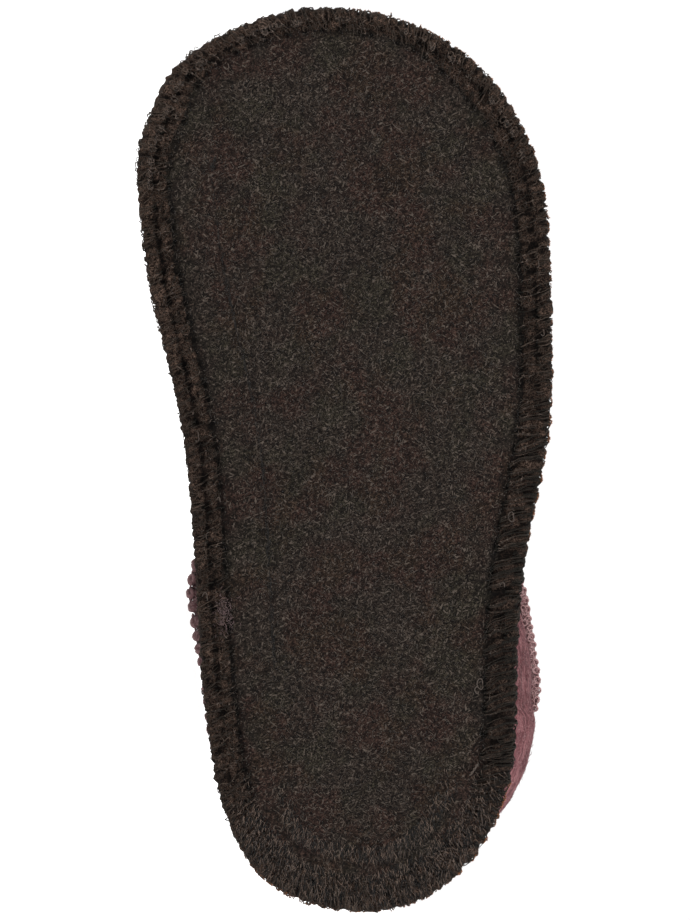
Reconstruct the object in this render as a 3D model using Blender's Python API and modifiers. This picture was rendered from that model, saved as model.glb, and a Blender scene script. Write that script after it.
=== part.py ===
"""House slipper for a left foot: boiled-wool upper, wool-felt outsole and felt insole.

The shape is worked out in the slipper's own frame, in millimetres: x runs from the
heel (0) to the toe, y towards the outer (lateral) side of the foot, z up from the
plane that the heel and the forefoot stand on. The finished slipper then lies on its
inner side: the edge of the sole and the collar of the upper both touch the floor,
the sole faces -Y and the toe points to -X. The origin is the middle of the bottom of
the bounding box.
"""
import math

import bpy
import bmesh
import numpy as np
from mathutils import Euler

MM = 0.001

# ---------------------------------------------------------------- driving sizes (mm)
SOLE_LENGTH = 172.4        # outsole, heel to toe
SOLE_THICKNESS = 4.5       # one layer of wool felt
SOLE_EDGE_ROUND = 1.2
TOE_SPRING = 4.0           # lift of the outsole's underside at the toe
SPRING_START = 0.70        # fraction of the length where the lift starts
WALL = 2.5                 # boiled wool
GAP = 0.3                  # between pieces that touch
FLANGE = 3.4               # flat part of the upper's turned-out edge
CREASE_RADIUS = 1.6        # where the flange turns up into the wall
INSOLE_INSET = 8.2         # from the outsole's outline
INSOLE_THICKNESS = 3.0
INSOLE_EDGE_ROUND = 0.8
COLLAR_BACK = 6.5          # x of the collar at the back of the heel
THROAT = 93.0              # x of the collar at the instep

COLUMNS = 36               # columns of faces along each side
HEEL_SPINE, TOE_SPINE = 27.0, 34.0   # the sole's middle line stops this far from its ends

# resting pose: the slipper lies on its inner side (degrees, metres)
REST_ROLL, REST_TILT, REST_TURN = -89.912, -176.679, -0.005
REST_PLACE = (0.086302, -0.026484, 0.027066)

# ---------------------------------------------------------------- tables
# Outline of the outsole. Half-widths are from the line that joins heel and toe.
# Stations 0 and 1 hold the half-width of the ellipse that the end is cut from.
SOLE_COLUMNS = ("station", "medial", "lateral")
SOLE_ROWS = (
    (0.00, 52.5, 44.5),
    (0.05, 21.5, 18.6),
    (0.10, 26.1, 24.3),
    (0.15, 28.2, 27.3),
    (0.20, 29.1, 28.6),
    (0.30, 29.7, 30.4),
    (0.40, 29.5, 33.7),
    (0.50, 29.4, 38.4),
    (0.60, 31.1, 40.7),
    (0.70, 33.9, 41.6),
    (0.80, 34.9, 41.0),
    (0.85, 34.4, 38.5),
    (0.90, 31.0, 34.1),
    (0.95, 25.0, 25.9),
    (1.00, 57.0, 60.5),
)

# Collar, seen from above: station 0 is the back of the heel and 1 the throat.
# The first and last half-widths are again those of the end's ellipse.
COLLAR_COLUMNS = ("station", "medial", "lateral", "height")
COLLAR_ROWS = (
    (0.00, 32.0, 29.5, 50.0),
    (0.12, 21.6, 20.4, 49.0),
    (0.25, 27.6, 28.9, 46.2),
    (0.44, 29.2, 33.7, 43.0),
    (0.62, 30.3, 31.1, 42.6),
    (0.80, 25.0, 25.2, 45.6),
    (0.92, 15.4, 15.4, 50.0),
    (1.00, 25.0, 25.0, 53.0),
)

# Wall of the upper, one row for each station along the sole. "collar" is the station
# of the collar that the wall ends at. foot_* is how far the wall swells outwards on
# its way up from the feather edge (foot_up), rim_* how far it lies outside the rim
# just below it (rim_down).
WALL_COLUMNS = ("station", "collar", "foot_medial", "foot_lateral", "foot_up",
                "rim_medial", "rim_lateral", "rim_down")
WALL_ROWS = (
    (0.00, 0.00, 1.6, 1.6, 15.0, 3.6, 3.6, 16.0),
    (0.07, 0.055, 3.4, 5.4, 14.5, 4.2, 6.2, 15.5),
    (0.15, 0.165, 4.6, 9.2, 14.0, 3.6, 8.0, 15.0),
    (0.25, 0.38, 3.8, 8.2, 14.0, 0.6, 2.8, 14.0),
    (0.35, 0.62, 4.0, 4.8, 15.0, 0.4, 1.0, 13.0),
    (0.50, 0.83, 2.8, 2.2, 20.0, 7.5, 7.8, 10.5),
    (0.65, 0.925, 1.6, 1.4, 22.0, 15.0, 16.0, 8.5),
    (0.80, 0.968, 1.2, 1.2, 20.0, 23.0, 24.0, 9.5),
    (0.92, 0.990, 1.2, 1.2, 18.5, 29.0, 29.0, 11.5),
    (1.00, 1.000, 1.2, 1.2, 18.0, 32.0, 32.0, 12.5),
)


# ---------------------------------------------------------------- curves from the tables
def angle_of(station):
    """Stations run as on an ellipse, so that rows are close together at both ends."""
    return math.acos(1.0 - 2.0 * min(max(station, 0.0), 1.0))


def spline(xs, ys):
    """Cubic spline through the rows, level at both ends so that the halves join."""
    xs, ys = np.asarray(xs, float), np.asarray(ys, float)
    n, h = len(xs), np.diff(xs)
    a, b = np.zeros((n, n)), np.zeros(n)
    a[0, 0], a[0, 1], b[0] = 2 * h[0], h[0], 6 * (ys[1] - ys[0]) / h[0]
    a[-1, -1], a[-1, -2], b[-1] = 2 * h[-1], h[-1], -6 * (ys[-1] - ys[-2]) / h[-1]
    for i in range(1, n - 1):
        a[i, i - 1], a[i, i], a[i, i + 1] = h[i - 1], 2 * (h[i - 1] + h[i]), h[i]
        b[i] = 6 * ((ys[i + 1] - ys[i]) / h[i] - (ys[i] - ys[i - 1]) / h[i - 1])
    m = np.linalg.solve(a, b)

    def value(x):
        i = min(max(int(np.searchsorted(xs, x)) - 1, 0), n - 2)
        u, v = xs[i + 1] - x, x - xs[i]
        return float((m[i] * u ** 3 + m[i + 1] * v ** 3) / (6 * h[i])
                     + (ys[i] / h[i] - m[i] * h[i] / 6) * u
                     + (ys[i + 1] / h[i] - m[i + 1] * h[i] / 6) * v)
    return value


def table(columns, rows, rounded=()):
    """One function of the angle for each column; rounded columns close at both ends."""
    angles = [angle_of(r[0]) for r in rows]
    out = {}
    for k, name in enumerate(columns[1:], start=1):
        values = []
        for i, row in enumerate(rows):
            inner = 0 < i < len(rows) - 1
            values.append(row[k] / math.sin(angles[i]) if name in rounded and inner else row[k])
        curve = spline(angles, values)
        out[name] = (lambda a, c=curve: c(a) * math.sin(a)) if name in rounded else curve
    return out


SOLE = table(SOLE_COLUMNS, SOLE_ROWS, rounded=("medial", "lateral"))
COLLAR = table(COLLAR_COLUMNS, COLLAR_ROWS, rounded=("medial", "lateral"))
WALLS = table(WALL_COLUMNS, WALL_ROWS)


def outline(angle, side):
    """Point of the outsole's outline; side is +1 lateral, -1 medial."""
    half = SOLE["lateral" if side > 0 else "medial"](angle)
    return np.array([SOLE_LENGTH / 2 * (1 - math.cos(angle)), side * half])


def outline_normal(angle, side):
    """Outward normal of the outline in plan."""
    step = 0.004
    if angle < step or angle > math.pi - step:
        return np.array([-1.0 if angle < 1 else 1.0, 0.0])
    t = outline(angle + step, side) - outline(angle - step, side)
    n = np.array([-t[1], t[0]]) * side
    return n / np.linalg.norm(n)


def inset_outline(angle, side, inset):
    return outline(angle, side) - inset * outline_normal(angle, side)


def underside(x):
    """Height of the outsole's underside: flat, then lifting towards the toe."""
    t = (x / SOLE_LENGTH - SPRING_START) / (1 - SPRING_START)
    return TOE_SPRING * max(t, 0.0) ** 2


def collar_point(angle, side):
    half = COLLAR["lateral" if side > 0 else "medial"](angle)
    x = COLLAR_BACK + (THROAT - COLLAR_BACK) / 2 * (1 - math.cos(angle))
    return np.array([x, side * half, COLLAR["height"](angle)])


def collar_normal(angle, side):
    step = 0.004
    if angle < step or angle > math.pi - step:
        return np.array([-1.0 if angle < 1 else 1.0, 0.0])
    t = (collar_point(angle + step, side) - collar_point(angle - step, side))[:2]
    n = np.array([-t[1], t[0]]) * side
    return n / np.linalg.norm(n)


def wall_column(angle, side, rows=11, crease_rows=4):
    """Outer surface of the upper from the flange's edge to the collar."""
    edge, out2 = outline(angle, side), outline_normal(angle, side)
    out = np.array([out2[0], out2[1], 0.0])
    up = np.array([0.0, 0.0, 1.0])
    which = "lateral" if side > 0 else "medial"
    foot_out, foot_up = WALLS["foot_" + which](angle), WALLS["foot_up"](angle)
    rim_out, rim_down = WALLS["rim_" + which](angle), WALLS["rim_down"](angle)
    sole_top = underside(edge[0]) + SOLE_THICKNESS
    level = sole_top + GAP + WALL

    def at(inset, z):
        return np.array([edge[0], edge[1], z]) - inset * out

    points = [at(inset, level) for inset in (GAP, 0.5 * FLANGE, FLANGE)]
    lean = math.pi / 2 + math.atan2(foot_out, foot_up)
    for k in range(1, crease_rows + 1):
        a = lean * k / crease_rows
        points.append(at(FLANGE + CREASE_RADIUS * math.sin(a),
                         level + CREASE_RADIUS * (1 - math.cos(a))))
    p0 = points[-1]
    station = min(max(WALLS["collar"](angle), 0.0), 1.0)
    rim_angle = angle_of(station)
    p3 = collar_point(rim_angle, side)
    rn = collar_normal(rim_angle, side)
    p1 = p0 + foot_out * out + foot_up * up
    p2 = p3 + rim_out * np.array([rn[0], rn[1], 0.0]) - rim_down * up
    for k in range(1, rows):
        s = k / (rows - 1)
        points.append((1 - s) ** 3 * p0 + 3 * s * (1 - s) ** 2 * p1
                      + 3 * s * s * (1 - s) * p2 + s ** 3 * p3)
    return points


def ring():
    """(angle, side) once round the slipper: heel, medial side, toe, lateral side."""
    medial = [(math.pi * i / COLUMNS, -1) for i in range(COLUMNS + 1)]
    lateral = [(math.pi * i / COLUMNS, 1) for i in range(COLUMNS - 1, 0, -1)]
    return medial + lateral


# ---------------------------------------------------------------- meshes
def new_object(name, bm, collection, parent, material):
    mesh = bpy.data.meshes.new(name)
    bm.to_mesh(mesh)
    bm.free()
    mesh.shade_smooth()
    mesh.set_sharp_from_angle(angle=math.radians(40))
    mesh.materials.append(material)
    obj = bpy.data.objects.new(name, mesh)
    collection.objects.link(obj)
    obj.parent = parent
    return obj


def felt_sheet(inset, height, bands=(0.0, 0.05, 0.18, 0.45)):
    """Open surface inside the outline: bands of faces round a middle line."""
    bm = bmesh.new()
    around, spine = ring(), {}
    rows = []
    for band in bands:
        row = []
        for angle, side in around:
            e = inset_outline(angle, side, inset)
            m = middle(angle)
            p = e + band * (m - e)
            row.append(bm.verts.new((p[0] * MM, p[1] * MM, height(p[0]) * MM)))
        rows.append(row)
    last = []
    for angle, side in around:
        key = round(angle, 6)
        if key not in spine:
            m = middle(angle)
            spine[key] = bm.verts.new((m[0] * MM, m[1] * MM, height(m[0]) * MM))
        last.append(spine[key])
    rows.append(last)
    n = len(around)
    for a, b in zip(rows, rows[1:]):
        for i in range(n):
            j = (i + 1) % n
            corners = []
            for v in (a[i], b[i], b[j], a[j]):
                if v not in corners:
                    corners.append(v)
            if len(corners) > 2:
                bm.faces.new(corners)
    bm.normal_update()
    if sum(f.normal.z for f in bm.faces) < 0:
        bmesh.ops.reverse_faces(bm, faces=bm.faces[:])
    return bm


def middle(angle):
    """Middle line of the sole, shorter than the sole at both ends."""
    x = HEEL_SPINE + (SOLE_LENGTH - HEEL_SPINE - TOE_SPINE) / 2 * (1 - math.cos(angle))
    a = angle_of(x / SOLE_LENGTH)
    return np.array([x, (SOLE["lateral"](a) - SOLE["medial"](a)) / 2])


def thicken(obj, thickness, offset=-1.0):
    mod = obj.modifiers.new("thickness", "SOLIDIFY")
    mod.thickness = thickness * MM
    mod.offset = offset
    mod.use_even_offset = True
    mod.use_rim = True


def round_edges(obj, width):
    mod = obj.modifiers.new("rounded_edge", "BEVEL")
    mod.width = width * MM
    mod.segments = 2
    mod.limit_method = "ANGLE"
    mod.angle_limit = math.radians(50)


def material(name, colour, roughness, sheen=0.0):
    mat = bpy.data.materials.new(name)
    mat.use_nodes = True
    bsdf = mat.node_tree.nodes["Principled BSDF"]
    bsdf.inputs["Base Color"].default_value = (*colour, 1.0)
    bsdf.inputs["Roughness"].default_value = roughness
    bsdf.inputs["Metallic"].default_value = 0.0
    bsdf.inputs["Sheen Weight"].default_value = sheen
    mat.diffuse_color = (*colour, 1.0)
    return mat


def make_outsole(collection, parent):
    bm = felt_sheet(0.0, lambda x: underside(x) + SOLE_THICKNESS)
    obj = new_object("outsole", bm, collection, parent,
                     material("sole_felt", (0.034, 0.028, 0.024), 0.95, 0.3))
    thicken(obj, SOLE_THICKNESS)
    round_edges(obj, SOLE_EDGE_ROUND)
    return obj


def make_insole(collection, parent):
    bm = felt_sheet(INSOLE_INSET,
                    lambda x: underside(x) + SOLE_THICKNESS + GAP + INSOLE_THICKNESS)
    obj = new_object("insole", bm, collection, parent,
                     material("insole_felt", (0.16, 0.13, 0.115), 0.95, 0.3))
    thicken(obj, INSOLE_THICKNESS)
    round_edges(obj, INSOLE_EDGE_ROUND)
    return obj


def make_upper(collection, parent):
    bm = bmesh.new()
    columns = [[bm.verts.new(tuple(p * MM)) for p in wall_column(angle, side)]
               for angle, side in ring()]
    for i, a in enumerate(columns):
        b = columns[(i + 1) % len(columns)]
        for k in range(len(a) - 1):
            bm.faces.new((a[k], b[k], b[k + 1], a[k + 1]))
    bm.normal_update()
    if sum(f.normal.z * f.calc_area() for f in bm.faces) < 0:
        bmesh.ops.reverse_faces(bm, faces=bm.faces[:])
    obj = new_object("upper", bm, collection, parent,
                     material("boiled_wool", (0.24, 0.11, 0.115), 0.95, 0.4))
    thicken(obj, WALL)
    return obj


def main():
    for obj in list(bpy.data.objects):
        bpy.data.objects.remove(obj, do_unlink=True)
    collection = bpy.data.collections.new("house_slipper")
    bpy.context.scene.collection.children.link(collection)
    pose = bpy.data.objects.new("resting_pose", None)
    collection.objects.link(pose)
    pose.rotation_euler = Euler([math.radians(v) for v in (REST_ROLL, REST_TILT, REST_TURN)])
    pose.location = REST_PLACE
    make_outsole(collection, pose)
    make_insole(collection, pose)
    make_upper(collection, pose)


main()
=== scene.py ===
"""Looks of the house slipper: felt sole, overcast edge yarn, boiled-wool upper, looped collar.

Shapes are worked out in the slipper's own frame in millimetres (x heel to toe, y towards
the outer side, z up from the plane it stands on) and are then laid down in the pose of
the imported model.
"""
import math

import bpy
import numpy as np
from mathutils import Euler, Matrix, Vector


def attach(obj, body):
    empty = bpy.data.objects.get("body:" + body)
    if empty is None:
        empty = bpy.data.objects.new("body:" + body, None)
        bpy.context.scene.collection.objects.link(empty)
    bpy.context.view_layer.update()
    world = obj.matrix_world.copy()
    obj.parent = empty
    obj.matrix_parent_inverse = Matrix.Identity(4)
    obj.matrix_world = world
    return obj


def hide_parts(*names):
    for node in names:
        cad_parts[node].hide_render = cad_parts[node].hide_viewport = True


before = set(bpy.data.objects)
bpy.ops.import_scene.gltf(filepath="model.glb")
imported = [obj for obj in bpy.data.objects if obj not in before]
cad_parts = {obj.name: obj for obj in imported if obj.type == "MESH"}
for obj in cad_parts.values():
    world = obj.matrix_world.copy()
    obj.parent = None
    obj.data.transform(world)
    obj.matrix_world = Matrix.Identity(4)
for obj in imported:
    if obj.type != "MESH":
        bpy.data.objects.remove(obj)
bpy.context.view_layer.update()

# ------------------------------------------------------------------ sizes of the model (mm)
SOLE_LENGTH, SOLE_THICKNESS = 172.4, 4.5
TOE_SPRING, SPRING_START = 4.0, 0.70
WALL, GAP, FLANGE, CREASE_RADIUS = 2.5, 0.3, 3.4, 1.6
INSOLE_INSET, INSOLE_THICKNESS = 8.2, 3.0
COLLAR_BACK, THROAT = 6.5, 93.0
HEEL_SPINE, TOE_SPINE = 27.0, 34.0
REST_ROLL, REST_TILT, REST_TURN = -89.912, -176.679, -0.005
REST_PLACE = (0.086302, -0.026484, 0.027066)

SOLE_ROWS = (  # station, medial, lateral
    (0.00, 52.5, 44.5), (0.05, 21.5, 18.6), (0.10, 26.1, 24.3), (0.15, 28.2, 27.3),
    (0.20, 29.1, 28.6), (0.30, 29.7, 30.4), (0.40, 29.5, 33.7), (0.50, 29.4, 38.4),
    (0.60, 31.1, 40.7), (0.70, 33.9, 41.6), (0.80, 34.9, 41.0), (0.85, 34.4, 38.5),
    (0.90, 31.0, 34.1), (0.95, 25.0, 25.9), (1.00, 57.0, 60.5))
COLLAR_ROWS = (  # station, medial, lateral, height
    (0.00, 32.0, 29.5, 50.0), (0.12, 21.6, 20.4, 49.0), (0.25, 27.6, 28.9, 46.2),
    (0.44, 29.2, 33.7, 43.0), (0.62, 30.3, 31.1, 42.6), (0.80, 25.0, 25.2, 45.6),
    (0.92, 15.4, 15.4, 50.0), (1.00, 25.0, 25.0, 53.0))
WALL_ROWS = (  # station, collar, foot medial, foot lateral, foot up, rim medial, rim lateral, rim down
    (0.00, 0.00, 1.6, 1.6, 15.0, 3.6, 3.6, 16.0), (0.07, 0.055, 3.4, 5.4, 14.5, 4.2, 6.2, 15.5),
    (0.15, 0.165, 4.6, 9.2, 14.0, 3.6, 8.0, 15.0), (0.25, 0.38, 3.8, 8.2, 14.0, 0.6, 2.8, 14.0),
    (0.35, 0.62, 4.0, 4.8, 15.0, 0.4, 1.0, 13.0), (0.50, 0.83, 2.8, 2.2, 20.0, 7.5, 7.8, 10.5),
    (0.65, 0.925, 1.6, 1.4, 22.0, 15.0, 16.0, 8.5), (0.80, 0.968, 1.2, 1.2, 20.0, 23.0, 24.0, 9.5),
    (0.92, 0.990, 1.2, 1.2, 18.5, 29.0, 29.0, 11.5), (1.00, 1.000, 1.2, 1.2, 18.0, 32.0, 32.0, 12.5))

# ------------------------------------------------------------------ sizes of the finish (mm)
STITCH = 3.9            # pitch of the long sole stitches
PIT = 5.5               # where the long stitches enter the felt, from the edge
FRIZZ = 3450            # short curls on the matted parts of the sole's yarn
COLLAR_STITCH = 2.45    # pitch of the turns over the collar
FLOOR = -2.00           # height of the floor under the yarn

ROT = np.array(Euler([math.radians(v) for v in (REST_ROLL, REST_TILT, REST_TURN)]).to_matrix())
PLACE = np.array(REST_PLACE)
UP = np.array([0.0, 0.0, 1.0])


def to_world(p):
    return (np.asarray(p) * 0.001) @ ROT.T + PLACE


# ------------------------------------------------------------------ curves from the tables
def angle_of(station):
    return np.arccos(1.0 - 2.0 * np.clip(station, 0.0, 1.0))


def spline(xs, ys):
    xs, ys = np.asarray(xs, float), np.asarray(ys, float)
    n, h = len(xs), np.diff(xs)
    a, b = np.zeros((n, n)), np.zeros(n)
    a[0, 0], a[0, 1], b[0] = 2 * h[0], h[0], 6 * (ys[1] - ys[0]) / h[0]
    a[-1, -1], a[-1, -2], b[-1] = 2 * h[-1], h[-1], -6 * (ys[-1] - ys[-2]) / h[-1]
    for i in range(1, n - 1):
        a[i, i - 1], a[i, i], a[i, i + 1] = h[i - 1], 2 * (h[i - 1] + h[i]), h[i]
        b[i] = 6 * ((ys[i + 1] - ys[i]) / h[i] - (ys[i] - ys[i - 1]) / h[i - 1])
    m = np.linalg.solve(a, b)

    def value(x):
        x = np.asarray(x, float)
        i = np.clip(np.searchsorted(xs, x) - 1, 0, n - 2)
        u, v = xs[i + 1] - x, x - xs[i]
        return ((m[i] * u ** 3 + m[i + 1] * v ** 3) / (6 * h[i])
                + (ys[i] / h[i] - m[i] * h[i] / 6) * u
                + (ys[i + 1] / h[i] - m[i + 1] * h[i] / 6) * v)
    return value


def column(rows, k, rounded=False):
    angles = [float(angle_of(r[0])) for r in rows]
    values = [r[k] / math.sin(a) if rounded and 0 < i < len(rows) - 1 else r[k]
              for i, (r, a) in enumerate(zip(rows, angles))]
    curve = spline(angles, values)
    return (lambda a: curve(a) * np.sin(a)) if rounded else curve


SOLE_MEDIAL, SOLE_LATERAL = column(SOLE_ROWS, 1, True), column(SOLE_ROWS, 2, True)
COLLAR_MEDIAL, COLLAR_LATERAL = column(COLLAR_ROWS, 1, True), column(COLLAR_ROWS, 2, True)
COLLAR_HEIGHT = column(COLLAR_ROWS, 3)
WALL_COLLAR, FOOT_MEDIAL, FOOT_LATERAL, FOOT_UP, RIM_MEDIAL, RIM_LATERAL, RIM_DOWN = (
    column(WALL_ROWS, k) for k in range(1, 8))


def fold(t):
    """Ring parameter 0..2 pi (heel, inner side, toe, outer side) to angle and side."""
    t = np.mod(t, 2 * math.pi)
    return np.where(t <= math.pi, t, 2 * math.pi - t), np.where(t <= math.pi, -1.0, 1.0)


def sole_ring(t):
    a, side = fold(t)
    half = np.where(side > 0, SOLE_LATERAL(a), SOLE_MEDIAL(a))
    return np.stack([SOLE_LENGTH / 2 * (1 - np.cos(a)), side * half], -1)


def collar_ring(t):
    a, side = fold(t)
    half = np.where(side > 0, COLLAR_LATERAL(a), COLLAR_MEDIAL(a))
    x = COLLAR_BACK + (THROAT - COLLAR_BACK) / 2 * (1 - np.cos(a))
    return np.stack([x, side * half, COLLAR_HEIGHT(a)], -1)


def ring_normal(ring, t, step=0.004):
    d = (ring(t + step) - ring(t - step))[..., :2]
    n = np.stack([d[..., 1], -d[..., 0]], -1)
    return n / np.linalg.norm(n, axis=-1, keepdims=True)


def underside(x):
    t = (np.asarray(x) / SOLE_LENGTH - SPRING_START) / (1 - SPRING_START)
    return TOE_SPRING * np.maximum(t, 0.0) ** 2


def middle(a):
    x = HEEL_SPINE + (SOLE_LENGTH - HEEL_SPINE - TOE_SPINE) / 2 * (1 - np.cos(a))
    b = angle_of(x / SOLE_LENGTH)
    return np.stack([x, (SOLE_LATERAL(b) - SOLE_MEDIAL(b)) / 2], -1)


class Along:
    """A closed ring by its own length: place, outward normal and ring parameter at s."""

    def __init__(self, ring, n=8192):
        self.t = np.linspace(0, 2 * math.pi, n + 1)
        p = ring(self.t)
        self.s = np.concatenate([[0], np.cumsum(np.linalg.norm(np.diff(p, axis=0), axis=1))])
        self.length, self.p, self.n = self.s[-1], p, ring_normal(ring, self.t)

    def _at(self, s, table):
        s = np.mod(s, self.length)
        return np.stack([np.interp(s, self.s, table[:, k]) for k in range(table.shape[1])], -1)

    def point(self, s):
        return self._at(s, self.p)

    def normal(self, s):
        n = self._at(s, self.n)
        return n / np.linalg.norm(n, axis=-1, keepdims=True)

    def param(self, s):
        return np.interp(np.mod(s, self.length), self.s, self.t)

    def length_at(self, t):
        return np.interp(np.mod(t, 2 * math.pi), self.t, self.s)


SOLE_EDGE = Along(sole_ring)
COLLAR_EDGE = Along(collar_ring)

# ------------------------------------------------------------------ seeded noise in space
_LATTICE = np.random.default_rng(11).uniform(-1, 1, (32, 32, 32))


def noise(p, size, shift=0.0):
    """Smooth noise from -1 to 1; size is the width of a lump in mm."""
    q = np.asarray(p) / size + 7.31 * shift + 100.0
    i = np.floor(q).astype(int)
    f = q - i
    f = f * f * (3 - 2 * f)
    out = 0.0
    for dx in (0, 1):
        for dy in (0, 1):
            for dz in (0, 1):
                w = ((f[..., 0] if dx else 1 - f[..., 0]) * (f[..., 1] if dy else 1 - f[..., 1])
                     * (f[..., 2] if dz else 1 - f[..., 2]))
                out = out + w * _LATTICE[(i[..., 0] + dx) % 32, (i[..., 1] + dy) % 32,
                                         (i[..., 2] + dz) % 32]
    return out * 1.6


def ramp(a, b, x):
    u = np.clip((x - a) / (b - a), 0, 1)
    return u * u * (3 - 2 * u)


def unit(v):
    return v / np.maximum(np.linalg.norm(v, axis=-1, keepdims=True), 1e-9)


# ------------------------------------------------------------------ mesh building
def piece(name, verts, faces, mat, stands_for=None, uv=None, smooth=True, shade=None):
    """verts in mm in the slipper's frame; faces is a list of (n, corners) index arrays. Yarn and
    fibres that would reach below the floor are pressed flat on it; shade darkens what lies deep."""
    co = to_world(verts)
    if stands_for is None:
        low = (FLOOR + 0.04) * 0.001
        co[:, 2] = np.where(co[:, 2] < low, low + 0.02 * (co[:, 2] - low), co[:, 2])
    faces = [np.asarray(f, np.int32) for f in faces if len(f)]
    loops = np.concatenate([f.ravel() for f in faces])
    totals = np.concatenate([np.full(len(f), f.shape[1], np.int32) for f in faces])
    me = bpy.data.meshes.new(name)
    me.vertices.add(len(co))
    me.vertices.foreach_set("co", co.astype(np.float32).ravel())
    me.loops.add(len(loops))
    me.loops.foreach_set("vertex_index", loops)
    me.polygons.add(len(totals))
    me.polygons.foreach_set("loop_start", np.concatenate([[0], np.cumsum(totals)[:-1]]).astype(np.int32))
    me.update(calc_edges=True)
    if uv is not None:
        layer = me.uv_layers.new(name="along")
        layer.uv.foreach_set("vector", np.asarray(uv, np.float32)[loops][:, :2].ravel())
    if shade is not None:
        me.attributes.new("shade", "FLOAT", "POINT").data.foreach_set("value", np.asarray(shade, np.float32))
    me.validate()
    if smooth:
        me.shade_smooth()
    me.materials.append(mat)
    ob = bpy.data.objects.new(name, me)
    bpy.context.scene.collection.objects.link(ob)
    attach(ob, "root")
    if stands_for:
        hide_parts(stands_for)
    tris = int((totals - 2).sum())
    print(f"{name}: {tris} triangles")
    return ob


def transport(path, first):
    """Frames carried along each path (m, p, 3) without twist."""
    tan = unit(np.gradient(path, axis=1))
    nor = np.empty_like(path)
    n = unit(first - (first * tan[:, 0]).sum(-1, keepdims=True) * tan[:, 0])
    for k in range(path.shape[1]):
        n = unit(n - (n * tan[:, k]).sum(-1, keepdims=True) * tan[:, k])
        nor[:, k] = n
    return tan, nor, np.cross(tan, nor)


def smooth_path(ctrl, samples):
    """Catmull-Rom through control points (m, c, k), evenly spaced in parameter."""
    m, c, k = ctrl.shape
    ext = np.concatenate([2 * ctrl[:, :1] - ctrl[:, 1:2], ctrl, 2 * ctrl[:, -1:] - ctrl[:, -2:-1]], 1)
    u = np.linspace(0, c - 1, samples)
    i = np.minimum(u.astype(int), c - 2)
    f = (u - i)[None, :, None]
    p0, p1, p2, p3 = ext[:, i], ext[:, i + 1], ext[:, i + 2], ext[:, i + 3]
    return 0.5 * (2 * p1 + (p2 - p0) * f + (2 * p0 - 5 * p1 + 4 * p2 - p3) * f ** 2
                  + (3 * p1 - p0 - 3 * p2 + p3) * f ** 3)


def tubes(path, radius, sides, closed=False):
    """Round tubes along paths (m, p, 3); returns verts, faces and a uv in mm."""
    m, p, _ = path.shape
    radius = np.broadcast_to(radius, (m, p)).copy()
    if closed:
        tan = unit(np.roll(path, -1, 1) - np.roll(path, 1, 1))
        mid = path.mean(1, keepdims=True)
        nor = unit(path - mid)
        nor = unit(nor - (nor * tan).sum(-1, keepdims=True) * tan)
        bi = np.cross(tan, nor)
    else:
        radius[:, 0] *= 0.5
        radius[:, -1] *= 0.5
        first = np.tile(np.array([[0.31, 0.74, 0.59]]), (m, 1))
        tan, nor, bi = transport(path, first)
    a = 2 * math.pi * np.arange(sides) / sides
    ring = (np.cos(a)[None, None, :, None] * nor[:, :, None] + np.sin(a)[None, None, :, None] * bi[:, :, None])
    verts = path[:, :, None] + radius[:, :, None, None] * ring
    step = np.linalg.norm(np.diff(path, axis=1), axis=-1)
    along = np.concatenate([np.zeros((m, 1)), np.cumsum(step, 1)], 1)
    uv = np.ones((m, p, sides, 6))
    uv[..., 2:5] = ring
    uv[..., 0] = (a / (2 * math.pi))[None, None, :]
    uv[..., 1] = along[:, :, None] + 13.7 * np.arange(m)[:, None, None]
    idx = np.arange(m * p * sides).reshape(m, p, sides)
    nxt = np.roll(idx, -1, 2)
    if closed:
        nidx = np.roll(idx, -1, 1)
        nnxt = np.roll(nxt, -1, 1)
        quads = np.stack([idx, nxt, nnxt, nidx], -1).reshape(-1, 4)
        return verts.reshape(-1, 3), [quads], uv.reshape(-1, 6)
    quads = np.stack([idx[:, :-1], nxt[:, :-1], nxt[:, 1:], idx[:, 1:]], -1).reshape(-1, 4)
    caps = np.concatenate([idx[:, 0, ::-1], idx[:, -1]], 0)
    return verts.reshape(-1, 3), [quads, caps], uv.reshape(-1, 6)


def merge(parts):
    """Joins (verts, faces, uv) lists into one."""
    verts, uvs, by = [], [], {}
    base = 0
    for v, fs, uv in parts:
        for f in fs:
            by.setdefault(f.shape[1], []).append(f + base)
        verts.append(v)
        uvs.append(uv)
        base += len(v)
    return np.concatenate(verts), [np.concatenate(f) for f in by.values()], np.concatenate(uvs)


def plies(centre, count, helix, radius, pitch, rng, sides=6, flat=1.0):
    """Several strands twisted round each centre line (m, p, 3)."""
    m, p, _ = centre.shape
    first = np.tile(np.array([[0.2, 0.3, 0.93]]), (m, 1))
    tan, nor, bi = transport(centre, first)
    step = np.linalg.norm(np.diff(centre, axis=1), axis=-1)
    along = np.concatenate([np.zeros((m, 1)), np.cumsum(step, 1)], 1)
    phase = rng.uniform(0, 2 * math.pi, (m, 1))
    out = []
    for j in range(count):
        a = phase + 2 * math.pi * (j / count + along / pitch)
        h = helix * (1 + 0.25 * rng.standard_normal((m, 1)))
        line = centre + (h * np.cos(a))[..., None] * nor + (flat * h * np.sin(a))[..., None] * bi
        r = radius * (1 + 0.14 * rng.standard_normal((m, 1))) * (1 + 0.10 * rng.standard_normal((m, p)))
        out.append(tubes(line, r, sides))
    return out


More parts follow.
